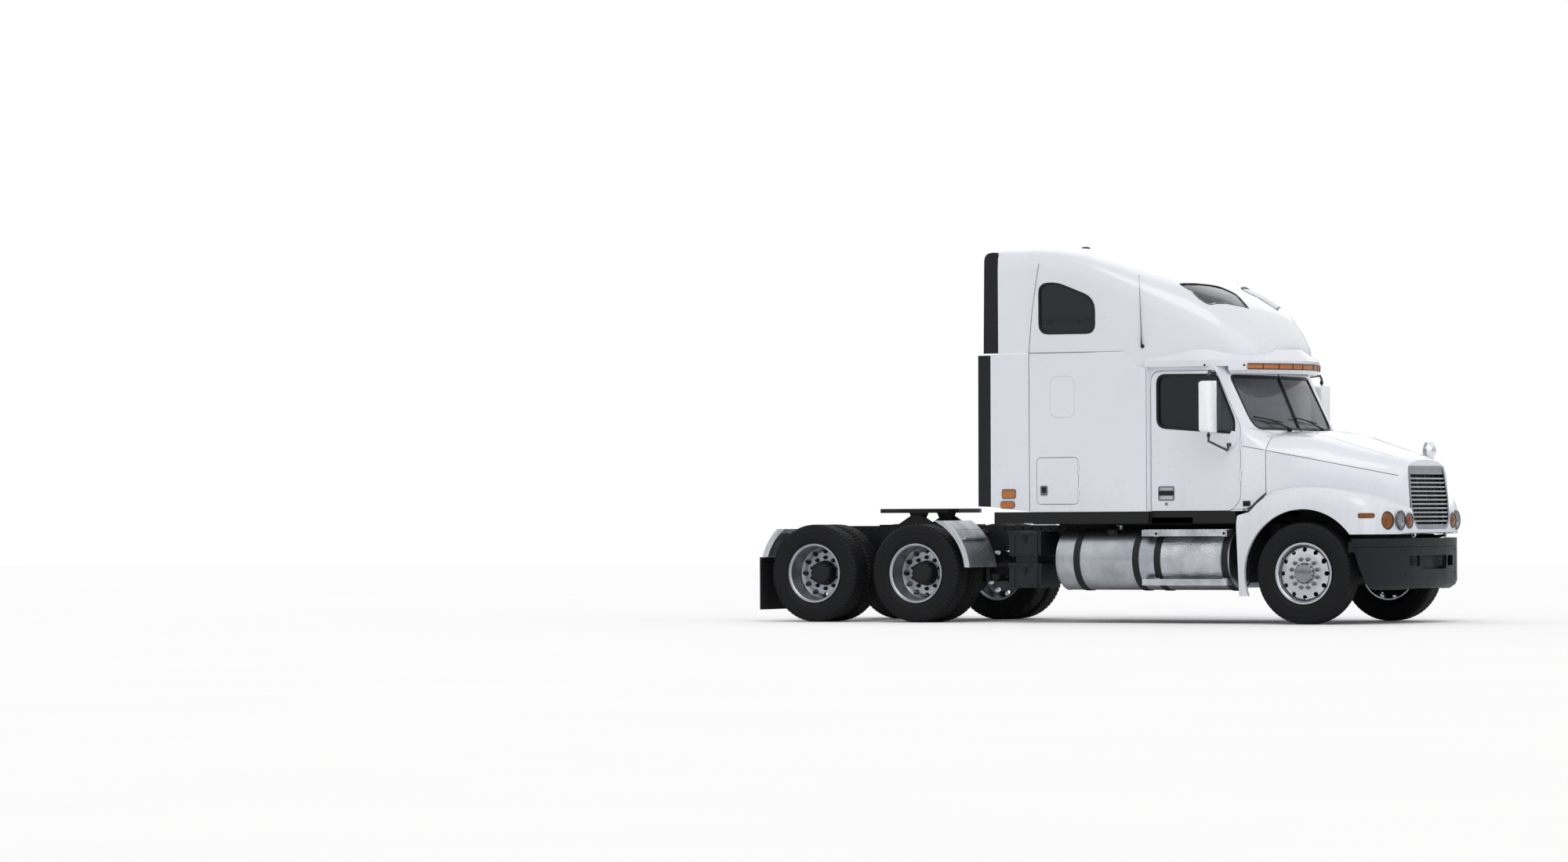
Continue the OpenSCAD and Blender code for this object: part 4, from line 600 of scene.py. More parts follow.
def makeLampFinish():
    # Outer and inner lamps amber, the headlamp between them clear over its reflector
    mat, tree, shader = newMaterial("lampPolycarbonate", "#7d4a10", 0.2, Coat_Weight=0.15, Specular_IOR_Level=0.3,
                                    Coat_Roughness=0.03)
    space = objectSpace(tree)
    side = mathNode(tree, "ABSOLUTE", addNode(tree, "ShaderNodeSeparateXYZ", {0: space}).outputs["Y"])
    clear = addNode(tree, "ShaderNodeMath", {0: ramped(tree, side, 0.628, 0.630),
                                             1: ramped(tree, side, 0.802, 0.804, 1.0, 0.0)}, operation="MULTIPLY")
    facets = addNode(tree, "ShaderNodeTexVoronoi", {"Vector": space, "Scale": 55.0}, feature="F1",
                     distance="CHEBYCHEV")
    # each facet is painted darker towards its edge: painted facet shading over the bumped facets
    amber = blendColours(tree, ramped(tree, facets.outputs["Distance"], 0.1, 0.8), "#8f5418", "#40220a")
    mix = addNode(tree, "ShaderNodeMix", {0: clear.outputs[0], 6: amber, 7: linear("#eef2f5")}, data_type="RGBA")
    tree.links.new(mix.outputs[2], shader.inputs["Base Color"])
    tree.links.new(ramped(tree, clear.outputs[0], 0.0, 1.0, 1.0, 0.2), shader.inputs["Alpha"])
    addBump(tree, shader, facets.outputs["Distance"], 0.5, 0.003)
    return mat


lampFinish = makeLampFinish()

nodeFinish = {
    "frame": chassisEnamel, "steer_axle": castIron, "drive_axles": chassisEnamel, "springs": springSteel,
    "engine": castIron, "driveline": castIron, "bumper": bumperPlastic, "fuel_tanks": tankAluminium,
    "tank_straps": sheetRubber, "tank_steps": treadAluminium, "equipment_boxes": boxPowder,
    "quarter_fenders": pebbleAluminium, "mud_flaps": sheetRubber, "coupler_mount": chassisEnamel,
    "coupler_plate": greasedSteel, "lamps": markerLens, "cab_shell": whitePaint, "fixed_glass": tintedGlass,
    "sleeper_shell": whitePaint, "roof_cap": cowlPaint, "side_fairings": whitePaint,
    "fairing_edges": sheetRubber, "sill": trimPlastic, "dashboard": trimPlastic, "hood_shell": whitePaint,
    "grille": grilleAluminium, "headlamps": lampFinish, "hood_mirror": hoodMirrorFinish,
    "door_right": whitePaint, "door_left": whitePaint, "door_glass_right": tintedGlass,
    "door_glass_left": tintedGlass, "mirror_right": mirrorHead, "mirror_left": mirrorHead,
    "knuckle_right": castIron, "knuckle_left": castIron, "front_rim_right": forgedPolish,
    "front_rim_left": forgedPolish, "fore_rims_right": diskAluminium, "fore_rims_left": diskAluminium,
    "aft_rims_right": diskAluminium, "aft_rims_left": diskAluminium,
    "baggage_door_right": whitePaint, "baggage_door_left": whitePaint,
    "front_tyre_right": tyreRubber, "front_tyre_left": tyreRubber, "fore_tyres_right": tyreRubber,
    "fore_tyres_left": tyreRubber, "aft_tyres_right": tyreRubber, "aft_tyres_left": tyreRubber,
    "seats": trimPlastic,
}
for name, obj in nodes.items():
    for spot in obj.material_slots:
        spot.material = nodeFinish.get(name, trimPlastic)

# Moulded and pressed shells get their real rounded shading and slightly broken edges
shellSet = {  # node: edge radius in mm, angle that counts as an edge, slot
    "hood_shell": (0, 34, "white_paint"), "roof_cap": (0, 34, "white_paint"), "cab_shell": (0, 30, "white_paint"),
    "bumper": (0, 26, "dark_plastic"), "door_right": (3, 35, "white_paint"), "door_left": (3, 35, "white_paint"),
    "side_fairings": (0, 30, "white_paint"), "headlamps": (0, 40, "lamp_glass"), "hood_mirror": (0, 40, "chrome"),
    "mirror_right": (0, 40, "white_paint"), "mirror_left": (0, 40, "white_paint"),
    "fixed_glass": (0, 30, "dark_glass"), "baggage_door_right": (3, 35, "white_paint"),
    "baggage_door_left": (3, 35, "white_paint"), "tank_steps": (2, 35, "aluminium"),
    "equipment_boxes": (5, 35, "black_frame"), "sill": (6, 35, "dark_plastic"),
    "sleeper_shell": (0, 32, "white_paint"), "lamps": (0, 35, "lamp_lens"),
}


mirrorX = steerX - 966


def finishShell(name, edge, angle):
    bm = bmesh.new()
    bm.from_mesh(nodes[name].data)
    bmesh.ops.remove_doubles(bm, verts=bm.verts, dist=2e-5)
    bmesh.ops.dissolve_degenerate(bm, edges=bm.edges, dist=2e-5)
    if name.startswith("mirror_"):  # moulded heads with a 22 mm radius round both faces
        def onFace(v):
            return abs(abs(v.co.x - (mirrorX / 1000 + axleShift)) - 0.066) < 0.002 and 1.98 < v.co.z < 2.525
        rim = [e for e in bm.edges if len(e.link_faces) == 2 and e.calc_face_angle(0.0) > radians(40)
               and all(onFace(v) for v in e.verts)]
        bmesh.ops.bevel(bm, geom=rim, offset=0.022, segments=5, profile=0.5, affect="EDGES", clamp_overlap=False)
    obj = makePiece(name + "Finished", bm, nodeFinish[name], bodyOf(name), angle, edge / 1000)
    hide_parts(name)
    return obj


for name, (edge, angle, slotName) in shellSet.items():
    finishShell(name, edge, angle)

print("stage: wheels")
tyreSet = {"radius": 525, "half": 138, "rim": 318.5, "lugs": 68, "driveDepth": 9, "steerDepth": 3, "groove": 12}
wheelSet = {
    "right_front_wheel": ("front_tyre_right", (5163, -1060), False), "left_front_wheel": ("front_tyre_left",
                                                                                          (5163, 1060), False),
    "right_fore_wheels": ("fore_tyres_right", (625, -927), True), "left_fore_wheels": ("fore_tyres_left",
                                                                                       (625, 927), True),
    "right_aft_wheels": ("aft_tyres_right", (-625, -927), True), "left_aft_wheels": ("aft_tyres_left", (-625, 927),
                                                                                     True),
}


def tyreProfile(s):
    # half section from bead to crown as radius, distance from the middle, and 1 where a lug notch bites
    r, h, rim = s["radius"], s["half"], s["rim"]
    half = [(rim - 14, h * 0.78, 0), (rim + 6, h * 0.8, 0), (rim + 16, h * 0.86, 0), (rim + 26, h * 0.88, 0),
            (rim + 30, h * 0.92, 0),
            (rim + 52, h * 0.955, 0), (rim + 56, h * 0.97, 0), (rim + 62, h * 0.965, 0), (rim + 90, h * 0.995, 0),
            (rim + 118, h, 0), (rim + 122, h * 1.008, 0), (rim + 128, h * 1.0, 0), (rim + 150, h * 0.985, 0),
            (rim + 164, h * 0.965, 0), (rim + 168, h * 0.975, 0.3), (rim + 180, h * 0.95, 1), (r - 16, h * 0.9, 1),
            (r - 6, h * 0.85, 1), (r - 1, h * 0.79, 1), (r, h * 0.74, 1)]
    for centre in (0.6, 0.2):
        half += [(r, h * (centre + 0.045), 1 if centre > 0.3 else 0.35), (r - s["groove"], h * (centre + 0.03), 0),
                 (r - s["groove"], h * (centre - 0.03), 0), (r, h * (centre - 0.045), 0.35)]
    return half


def addTyre(bm, centre, sign, s, depth):
    half = tyreProfile(s)
    fullSection = [(r, y, n) for r, y, n in half] + [(r, -y, n) for r, y, n in half[::-1]]
    shares = ((0.0, 0), (0.66, 0), (0.72, 1), (0.94, 1))  # a lug, its wall, the notch, its wall
    rings = []
    for k in range(s["lugs"]):
        for share, low in shares:
            ring = []
            for r, y, notch in fullSection:
                shift = 0.5 if y < 0 else 0.0
                a = 2 * pi * (k + share + shift) / s["lugs"]
                bite = depth * notch * low
                ring.append(bm.verts.new(mm(centre[0] + (r - bite) * cos(a), centre[1] + sign * y,
                                            centre[2] + (r - bite) * sin(a))))
            rings.append(ring)
    n = len(fullSection)
    for a, b in zip(rings, rings[1:] + rings[:1]):
        for i in range(n):
            bm.faces.new((a[i], a[(i + 1) % n], b[(i + 1) % n], b[i]))


def makeTyres():
    for body, (node, (x, y), twin) in wheelSet.items():
        bm = bmesh.new()
        for shift in ((-159, 159) if twin else (0,)):
            addTyre(bm, (x, y + shift, wheelZ), 1, tyreSet, tyreSet["driveDepth" if twin else "steerDepth"])
        tyre = makePiece(node + "Tread", bm, tyreRubber, body, 42)
        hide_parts(node)


makeTyres()

hubSet = {"nuts": 10, "frontNutRing": 148, "frontNuts": 12, "rearNutRing": 168, "nutSize": 0.033}


drumIron = makeSatinBlack("brakeDrumIron", "#08080a", "#141311", 60.0, (0.7, 0.9))
nutSteel = makeBrushed("zincNutSteel", "#7d8187", "#66696f", (5.0, 5.0, 5.0), 0.2)


def makeHubs():
    for body, (_, (x, y), twin) in wheelSet.items():
        sign = -1 if y < 0 else 1
        out = Vector((0, sign, 0))
        bm = bmesh.new()
        count = hubSet["nuts"] if twin else hubSet["frontNuts"]
        ring = hubSet["rearNutRing"] if twin else hubSet["frontNutRing"]
        base = 25 if twin else 90
        for k in range(count):
            a = 2 * pi * (k + 0.5) / count
            spot = mm(x + ring * cos(a), y + sign * base, wheelZ + ring * sin(a))
            addLathe(bm, [(0, 0), (0.023, 0), (0.0225, 0.006), (0.0172, 0.008), (0.0172, 0.026), (0.0135, 0.031),
                          (0, 0.031)], spot, out, 12)
            addLathe(bm, [(0.0125, 0.03), (0.0125, 0.043), (0.010, 0.046), (0, 0.046)], spot, out, 10)
        makePiece(body + "Nuts", bm, springSteel if twin else nutSteel, body,
                  30)
        bm = bmesh.new()
        if twin:
            addLathe(bm, [(0.1305, 0.027), (0.136, 0.030), (0.134, 0.040), (0.1195, 0.130), (0.1185, 0.134),
                          (0.098, 0.1515),
                          (0.040, 0.1600), (0, 0.1600)], mm(x, y, wheelZ), out, 48)
            for k in range(8):
                a = 2 * pi * k / 8
                addBolt(bm, mm(x + 108 * cos(a), y + sign * 141, wheelZ + 108 * sin(a)), out, 0.018, 0.012)
        else:
            addLathe(bm, [(0.113, 0.0885), (0.1135, 0.093), (0.1065, 0.0945), (0.1055, 0.109), (0.0935, 0.1235),
                          (0.061, 0.1320),
                          (0.040, 0.1345), (0, 0.1355)], mm(x, y, wheelZ), out, 48)
            for k in range(5):
                a = 2 * pi * (k + 0.3) / 5
                addBolt(bm, mm(x + 82 * cos(a), y + sign * 125, wheelZ + 82 * sin(a)), out, 0.012, 0.006)
        makePiece(body + "HubCap", bm, trimPlastic if twin else chromeFinish, body,
                  32)
        if not twin:
            bm = bmesh.new()
            addLathe(bm, [(0.13, 0.012), (0.258, 0.012), (0.261, 0.018), (0.258, 0.024), (0.13, 0.024)],
                     mm(x, y, wheelZ), out, 40)
            makePiece(body + "BrakeDrum", bm, drumIron, body, 40)
        bm = bmesh.new()
        a = 0.6
        foot = mm(x + 268 * cos(a), y + sign * (60 if twin else 70), wheelZ + 268 * sin(a))
        addTube(bm, [foot, foot + out * 0.03, foot + out * 0.05 + Vector((-0.012 * cos(a), 0, -0.012 * sin(a)))],
                0.005, 8)
        makePiece(body + "ValveStem", bm, trimPlastic, body)


makeHubs()

print("stage: glazing")


def bothSides(build, *args):
    for word, sign in sides:
        build(word, sign, *args)


screenStations = [(0, -563, -823), (0.21, -566, -828), (0.417, -578, -843), (0.614, -594, -872),
                  (0.746, -614, -908), (0.833, -634, -938), (0.895, -660, -958), (0.943, -688, -976)]


def screenX(y, z):  # where the windshield surface lies at a width and a height
    share = min(abs(y) / cabHalf, 0.942)
    for a, b in zip(screenStations, screenStations[1:]):
        if share <= b[0]:
            t = (share - a[0]) / (b[0] - a[0])
            low, high = a[1] + (b[1] - a[1]) * t, a[2] + (b[2] - a[2]) * t
            return steerX + low + (high - low) * (z - 2000) / 600


def screenLoop(grown):
    flat = soften([(14, 2030), (0.833 * cabHalf + 6, 2030), (0.833 * cabHalf + 2, 2578), (14, 2578)],
                  [0, 130, 60, 0])
    loop = []
    for a, b in zip(flat, flat[1:] + flat[:1]):  # extra points, so that the ring follows the curved glass
        count = max(1, int((b - a).length / 60))
        loop += [a.lerp(b, i / count) for i in range(count)]
    return grow(loop, grown)


def makeScreenGasket(word, sign):
    bm = bmesh.new()
    inner, outer = screenLoop(-11), screenLoop(15)
    rings = []
    for loop, depth in ((inner, 9), (inner, -1), (outer, -3.5), (outer, 3)):
        rings.append([bm.verts.new(mm(screenX(y, z) - depth, sign * max(y, 0.5), z)) for y, z in loop])
    n = len(inner)
    for a, b in zip(rings, rings[1:] + rings[:1]):
        for i in range(n):
            bm.faces.new((a[i], a[(i + 1) % n], b[(i + 1) % n], b[i]))
    makePiece(word + "ScreenGasket", bm, gasketRubber, "chassis", 50)


bothSides(makeScreenGasket)


def makeScreenDivider():
    bm = bmesh.new()
    rows = [[bm.verts.new(mm(screenX(y, z) + lift, y, z)) for y,
             lift in ((-19, 0.5), (-15, 5), (0, 7), (15, 5), (19, 0.5))]
            for z in range(2006, 2601, 54)]
    for a, b in zip(rows, rows[1:]):
        for i in range(4):
            bm.faces.new((a[i], a[i + 1], b[i + 1], b[i]))
    makePiece("screenDivider", bm, gasketRubber, "chassis", 60)


makeScreenDivider()

# both arms park towards the truck's right
wiperSet = {"lift": 26, "blade": 560, "pivots": ((-290, 1), (560, 1))}


def makeWipers():
    for i, (pivotY, way) in enumerate(wiperSet["pivots"]):
        bm = bmesh.new()
        z0 = 2012
        base = mm(screenX(pivotY, z0) + 12, pivotY, z0)
        addLathe(bm, [(0, -0.02), (0.024, -0.02), (0.024, 0.012), (0.016, 0.024), (0, 0.026)], base,
                 (0.85, 0, 0.5), 20)
        middle = pivotY - way * 380
        arm = [base + Vector((0.02, 0, 0.014))]
        for t in (0.2, 0.45, 0.7, 1.0):
            y, z = pivotY + (middle - pivotY) * t, z0 + 16 + 96 * t
            arm.append(mm(screenX(y, z) + wiperSet["lift"] + 10 * sin(pi * t), y, z))
        addTube(bm, arm, [0.012, 0.011, 0.009, 0.008, 0.007], 8)
        blade = []
        for t in range(13):
            y = middle + wiperSet["blade"] * (t / 12 - 0.5)
            z = 2124 - 60 * way * (t / 12 - 0.5)
            if abs(y) < 0.83 * cabHalf:
                blade.append(mm(screenX(y, z) + 10, y, z))
        addTube(bm, [p + Vector((0.008, 0, 0.002)) for p in blade], 0.008, 6)
        addTube(bm, blade, 0.0035, 6)
        for k in (3, 6, 9):
            if k < len(blade):
                addTube(bm, [blade[k], (blade[k] + arm[-1]) / 2 + Vector((0.012, 0, 0)), arm[-1]], 0.0035, 6)
        makePiece(f"wiper{i + 1}", bm, trimPlastic, "chassis", 40)


makeWipers()


def paneLoop(word):
    if word == "door":
        return soften([(doorBack + 82, 2054), (doorX - 76, 1984), (doorX - 76, 2116), (doorX - 278, 2584),
                       (doorBack + 82, 2592)], [90, 46, 40, 40, 90])
    return soften([(sleeperBack + 136, 3060), (sleeperBack + 776, 3056), (sleeperBack + 776, 3410),
                   (sleeperBack + 340, 3580), (sleeperBack + 136, 3574)], [100, 90, 130, 84, 90])


def makeSideGaskets(word, sign):
    for place, half, body in (("door", cabHalf, word + "_door"), ("loft", sleeperHalf, "chassis")):
        bm = bmesh.new()
        loop = paneLoop(place)
        inner, outer = grow(loop, -9), grow(loop, 15)
        rings = []
        for ring, depth in ((inner, -12), (inner, 1), (loop, 4), (outer, 3), (outer, 0.2)):
            rings.append([bm.verts.new(mm(p[0], sign * (half + depth), p[1])) for p in ring])
        n = len(loop)
        for a, b in zip(rings, rings[1:] + rings[:1]):
            for i in range(n):
                bm.faces.new((a[i], a[(i + 1) % n], b[(i + 1) % n], b[i]))
        makePiece(f"{word}{place.capitalize()}Gasket", bm, gasketRubber, body, 50)


bothSides(makeSideGaskets)


def makeLoftBar(word, sign):
    bm = bmesh.new()
    z = 3196
    addBox(bm, mm(sleeperBack + 148, sign * (sleeperHalf - 11.5), z - 5),
           mm(sleeperBack + 764, sign * (sleeperHalf - 4), z + 5))
    for x in (230, 560):
        addBox(bm, mm(sleeperBack + x, sign * (sleeperHalf - 11.5), z - 34),
               mm(sleeperBack + x + 46, sign * (sleeperHalf - 3), z - 14))
    makePiece(word + "LoftBar", bm, trimPlastic, "chassis", 40, 0.002)


bothSides(makeLoftBar)

skyCorners = [(-1557, 830), (-1368, 251), (-1246, 200), (-1003, 356), (-1200, 868), (-1288, 895)]


def makeSkyGasket(word, sign):
    bm = bmesh.new()
    flat = soften([(steerX + x, y) for x, y in skyCorners], [16, 40, 56, 16, 34, 44])
    loop = []
    for a, b in zip(flat, flat[1:] + flat[:1]):
        count = max(1, int((b - a).length / 50))
        loop += [a.lerp(b, i / count) for i in range(count)]
    names = ["roof_cap", "fixed_glass"]
    outer, inner = grow(loop, 13), grow(loop, -9)
    rows = []
    for p, q in zip(outer, inner):
        row = []
        for spot, lift in ((p, 0.0005), (p, 0.004), (q, 0.0045), (q, -0.003)):
            hit, normal = touch(names, mm(spot[0], sign * spot[1], 4300), (0, 0, -1))
            hit2, normal2 = touch(["roof_cap"], mm(p[0], sign * p[1], 4300), (0, 0, -1))
            normal2 = normal2 if normal2 is not None else Vector((0, 0, 1))
            if hit is None:
                hit = hit2
            if spot is q:
                hit = Vector((hit.x, hit.y, max(hit.z, hit2.z - 0.012)))
            row.append(bm.verts.new(hit + normal2 * lift))
        rows.append(row)
    for a, b in zip(rows, rows[1:] + rows[:1]):
        for i in range(4):
            bm.faces.new((a[i], a[(i + 1) % 4], b[(i + 1) % 4], b[i]))
    makePiece(word + "SkyGasket", bm, gasketRubber, "chassis", 60)


bothSides(makeSkyGasket)

print("stage: cab and sleeper trim")


def addSeam(bm, names, points, way, radius=0.0028, step=0.03):
    line = drape(names, points, way, step)
    if len(line) > 1:
        addTube(bm, line, radius, 6)
    return line


def addRivets(bm, names, points, way, pitch=0.06, size=0.0055):
    line = drape(names, points, way, 0.01)
    walked, last = 0.0, None
    for p in line:
        if last is not None:
            walked += (p - last).length
        if last is None or walked >= pitch:
            walked = 0.0
            hit, normal = touch(names, p - Vector(way) * 0.05, way)
            if hit is not None:
                addLathe(bm, [(size, 0), (size * 0.8, size * 0.4), (size * 0.4, size * 0.62), (0, size * 0.68)],
                         hit, normal, 10)
        last = p


def makeSleeperSeams(word, sign):
    way = (0, -sign, 0)
    y = sign * 1500
    shell = ["sleeper_shell", "roof_cap", "side_fairings"]
    bm = bmesh.new()
    addSeam(bm, shell, [mm(2003, y, 1180), mm(2003, y, 2846)], way)
    addSeam(bm, shell, [mm(2003, y, 2852), mm(2045, y, 3300), mm(2129, y, 3800)], way)
    addSeam(bm, shell, [mm(2000, y, 2850), mm(3096, y, 2850)], way, 0.0034)
    addSeam(bm, shell, [mm(3372, y, 1182), mm(3372, y, 2660)], way, 0.0022)
    makePiece(word + "SleeperSeams", bm, gasketRubber, "chassis", 60)
    bm = bmesh.new()
    addRivets(bm, shell, [mm(2026, y, 1200), mm(2026, y, 2830)], way, 0.052)
    addRivets(bm, shell, [mm(1975, y, 1200), mm(1975, y, 2830)], way, 0.104)
    addRivets(bm, shell, [mm(2030, y, 2870), mm(2070, y, 3300), mm(2152, y, 3790)], way, 0.07)
    makePiece(word + "SleeperRivets", bm, cowlPaint, "chassis", 60)


bothSides(makeSleeperSeams)


def makeBackWall():
    bm = bmesh.new()
    for y in (-800, -400, 0, 400, 800):
        addRivets(bm, ["sleeper_shell"], [mm(1500, y, 1220), mm(1500, y, 2800)], (1, 0, 0), 0.09)
    for z in (1230, 2020, 2790):
        addRivets(bm, ["sleeper_shell"], [mm(1500, -1130, z), mm(1500, 1130, z)], (1, 0, 0), 0.09)
    makePiece("backWallRivets", bm, cowlPaint, "chassis", 60)
    bm = bmesh.new()
    addSeam(bm, ["sleeper_shell", "roof_cap"], [mm(1500, -1190, 2850), mm(1500, 1190, 2850)], (1, 0, 0), 0.004)
    for y in (-600, 600):
        addSeam(bm, ["sleeper_shell"], [mm(1500, y, 1180), mm(1500, y, 2846)], (1, 0, 0), 0.003)
    makePiece("backWallSeams", bm, gasketRubber, "chassis", 60)
    bm = bmesh.new()
    for sign in (-1, 1):
        for z in (1560, 2200, 2700):
            addBox(bm, mm(sleeperBack - 0.5, sign * 1060, z), mm(sleeperBack - 14, sign * 1172, z + 46))
            addTube(bm, [mm(sleeperBack - 12, sign * 1076, z + 23), mm(sleeperBack - 380, sign * 1168, z + 23)],
                    0.012, 10)
    makePiece("fairingStays", bm, chassisEnamel, "chassis", 40)


makeBackWall()


def makeHandles(word, sign):
    way = Vector((0, sign, 0))
    # door lock: plate in its recess, pull and key cylinder
    bm = bmesh.new()
    y = sign * (cabHalf + 0.4)
    loop = soften([(doorBack + 84, 1282), (doorBack + 272, 1282), (doorBack + 272, 1434), (doorBack + 84, 1434)],
                  22)
    hole = soften([(doorBack + 98, 1296), (doorBack + 258, 1296), (doorBack + 258, 1420), (doorBack + 98, 1420)],
                  14)
    addRing(bm, [mm(a, y, b) for a, b in hole], [mm(a, y, b) for a, b in loop], way * 0.003)
    makePiece(word + "DoorLockPlate", bm, chromeFinish, word + "_door", 40)
    bm = bmesh.new()
    pull = soften([(doorBack + 88, 1336), (doorBack + 268, 1336), (doorBack + 268, 1388), (doorBack + 88, 1388)],
                  16)
    addPlate(bm, [mm(a, sign * (cabHalf - 3.6), b) for a, b in pull], way * 0.008)
    makePiece(word + "DoorPull", bm, trimPlastic, word + "_door", 40, 0.003)
    bm = bmesh.new()
    addLathe(bm, [(0, 0), (0.017, 0), (0.016, 0.004), (0.009, 0.005), (0.008, 0.003), (0, 0.003)],
             mm(doorBack + 178, y, 1248), way, 24)
    makePiece(word + "DoorKey", bm, chromeFinish, word + "_door", 40)
    # baggage latch: bright plate with a black finger slot
    bm = bmesh.new()
    x = sleeperBack + 88
    y = sign * (sleeperHalf + 5.3)
    loop = soften([(x + 48, 1346), (x + 132, 1346), (x + 132, 1448), (x + 48, 1448)], 12)
    hole = soften([(x + 62, 1374), (x + 118, 1374), (x + 118, 1434), (x + 62, 1434)], 8)
    addRing(bm, [mm(a, y, b) for a, b in hole], [mm(a, y, b) for a, b in loop], way * 0.003)
    makePiece(word + "BaggageLatch", bm, chromeFinish, word + "_baggage_door", 40)
    bm = bmesh.new()
    addPlate(bm, [mm(a, y, b) for a, b in hole], way * 0.001)
    addLathe(bm, [(0, 0), (0.008, 0), (0.007, 0.004), (0, 0.004)], mm(x + 90, y + sign * 2, 1360), way, 16)
    makePiece(word + "BaggageSlot", bm, trimPlastic, word + "_baggage_door", 40)


bothSides(makeHandles)

visorPlan = [(-770, 854), (-670, 700), (-580, 500), (-515, 300), (-480, 130)]


def makeVisorTrim():
    bm = bmesh.new()
    half = [mm(steerX + x + 5.5, y + 5, 0) for x, y in visorPlan]
    path = half + [Vector((p.x, -p.y, 0)) for p in half[::-1]]
    for z in (2.650, 2.706):
        addTube(bm, [Vector((p.x, p.y, z)) for p in path], 0.0045, 6)
    for a, b in zip(path, path[1:]):
        count = max(1, round((b - a).length / 0.19))
        for i in range(count):
            p = a.lerp(b, i / count)
            addTube(bm, [Vector((p.x, p.y, 2.650)), Vector((p.x, p.y, 2.706))], 0.0042, 6)
    makePiece("visorTrim", bm, gasketRubber, "chassis", 60)


makeVisorTrim()


def makeRoofFittings():
    bm = bmesh.new()
    for sign in (-1, 1):
        foot, footNormal = touch(["roof_cap", "sleeper_shell"], mm(3326, sign * 1500, 2900), (0, -sign, 0))
        addLathe(bm, [(0, -0.004), (0.022, -0.004), (0.020, 0.010), (0.012, 0.022), (0, 0.024)], foot, footNormal,
                 20)
        tip = Vector((mm(3304, 0, 0).x, foot.y + sign * 0.028, 3.646))
        addTube(bm, [foot + Vector((0, sign * 0.014, 0)), foot + Vector((0, sign * 0.026, 0.02)),
                     foot + Vector((-0.001, sign * 0.028, 0.12)), tip], [0.010, 0.009, 0.0045, 0.0016], 8)
    makePiece("whipAntennas", bm, trimPlastic, "chassis", 50)
    bm = bmesh.new()
    top, normal = touch(["roof_cap"], mm(2070, 0, 4300), (0, 0, -1))
    addLathe(bm, [(0.055, -0.006), (0.055, 0.010), (0.045, 0.022), (0.026, 0.029), (0, 0.031)], top, (0, 0, 1), 32)
    makePiece("roofPuck", bm, trimPlastic, "chassis", 50)
    bm = bmesh.new()
    for sign in (-1, 1):
        for x in (-800, -1120):
            hit, normal = touch(["roof_cap"], mm(steerX + x, sign * 1500, 2690), (0, -sign, 0))
            if hit is not None:
                addBolt(bm, hit, normal, 0.016, 0.008)
    makePiece("visorBolts", bm, springSteel, "chassis", 40)


makeRoofFittings()

print("stage: side mirrors")
mirrorSet = {"x": steerX - 966, "y": cabHalf + 256, "low": 1985, "high": 2520}


def makeMirror(word, sign):
    s = mirrorSet
    mx, my, z0, z1 = s["x"], s["y"], s["low"], s["high"]
    back = mx - 66.4
    frameLoop = soften([(my - 104, z0 + 8), (my + 104, z0 + 8), (my + 104, z1 - 8), (my - 104, z1 - 8)], 58)
    inner = soften([(my - 92, z0 + 20), (my + 92, z0 + 20), (my + 92, z1 - 20), (my - 92, z1 - 20)], 48)
    bm = bmesh.new()
    addRing(bm, [mm(back, sign * a, b) for a, b in inner], [mm(back, sign * a, b) for a, b in frameLoop],
            (-0.010, 0, 0))
    addBox(bm, mm(back, sign * (my - 92), z0 + 168), mm(back - 8, sign * (my + 92), z0 + 180))
    makePiece(word + "MirrorFrame", bm, trimPlastic, word + "_door", 40)
    bm = bmesh.new()
    addPlate(bm, [mm(back, sign * a, b) for a, b in inner], (-0.004, 0, 0))
    makePiece(word + "MirrorGlass", bm, mirrorSilver, word + "_door", 30)
    bm = bmesh.new()
    for z in (z1 + 30, z0 - 30):
        addTube(bm, [mm(mx, sign * my, z - 16), mm(mx, sign * my, z + 16)], 0.018, 16)
    makePiece(word + "MirrorClamps", bm, trimPlastic, word + "_door", 40)
    # painted wedge at the lower front corner of the door window
    bm = bmesh.new()
    loop = soften([(doorX - 190, 1838), (doorX - 78, 1828), (doorX - 40, 1900), (doorX - 62, 1992),
                   (doorX - 96, 2006)], [24, 26, 30, 16, 10])
    addPlate(bm, [mm(a, sign * (cabHalf + 0.5), b) for a, b in loop], (0, sign * 0.020, 0))
    makePiece(word + "MirrorWedge", bm, whitePaint, word + "_door", 40, 0.006, 3)


mirrorSilver = makeBrushed("silveredMirror", "#c8d0d8", "#bfc7d0", (1.0, 1.0, 1.0), 0.07)
bothSides(makeMirror)

print("stage: nose")


def onNose(u, y, z, depth=0.0):  # a point of the leaning grille plane: width, height over its origin, depth forward
    lean = radians(truck["noseLean"])
    return mm(steerX + 917 - z * sin(lean) + depth * cos(lean) + u, y, 1000 + z * cos(lean) + depth * sin(lean))


def makeGrilleBacking():
    bm = bmesh.new()
    half = [(376, -26), (468, 60), (494, 300), (462, 540), (440, 632)]
    loop = grow([Vector(p) for p in half] + [Vector((-a, b)) for a, b in half[::-1]], -30)
    addPlate(bm, [onNose(0, a, b, -62) for a, b in loop], onNose(0, 0, 0, -66) - onNose(0, 0, 0, -62))
    makePiece("grilleScreen", bm, trimPlastic, "hood")


makeGrilleBacking()
bezelSteel = makeBrushed("darkChromeBezel", "#5a5d62", "#3f4247", (5.0, 5.0, 5.0), 0.18)
lampSeats = [(steerX + 812, 896, 1064, 176, 24), (steerX + 885, 706, 1066, 190, 0),
             (steerX + 914, 553, 1063, 146, 0)]


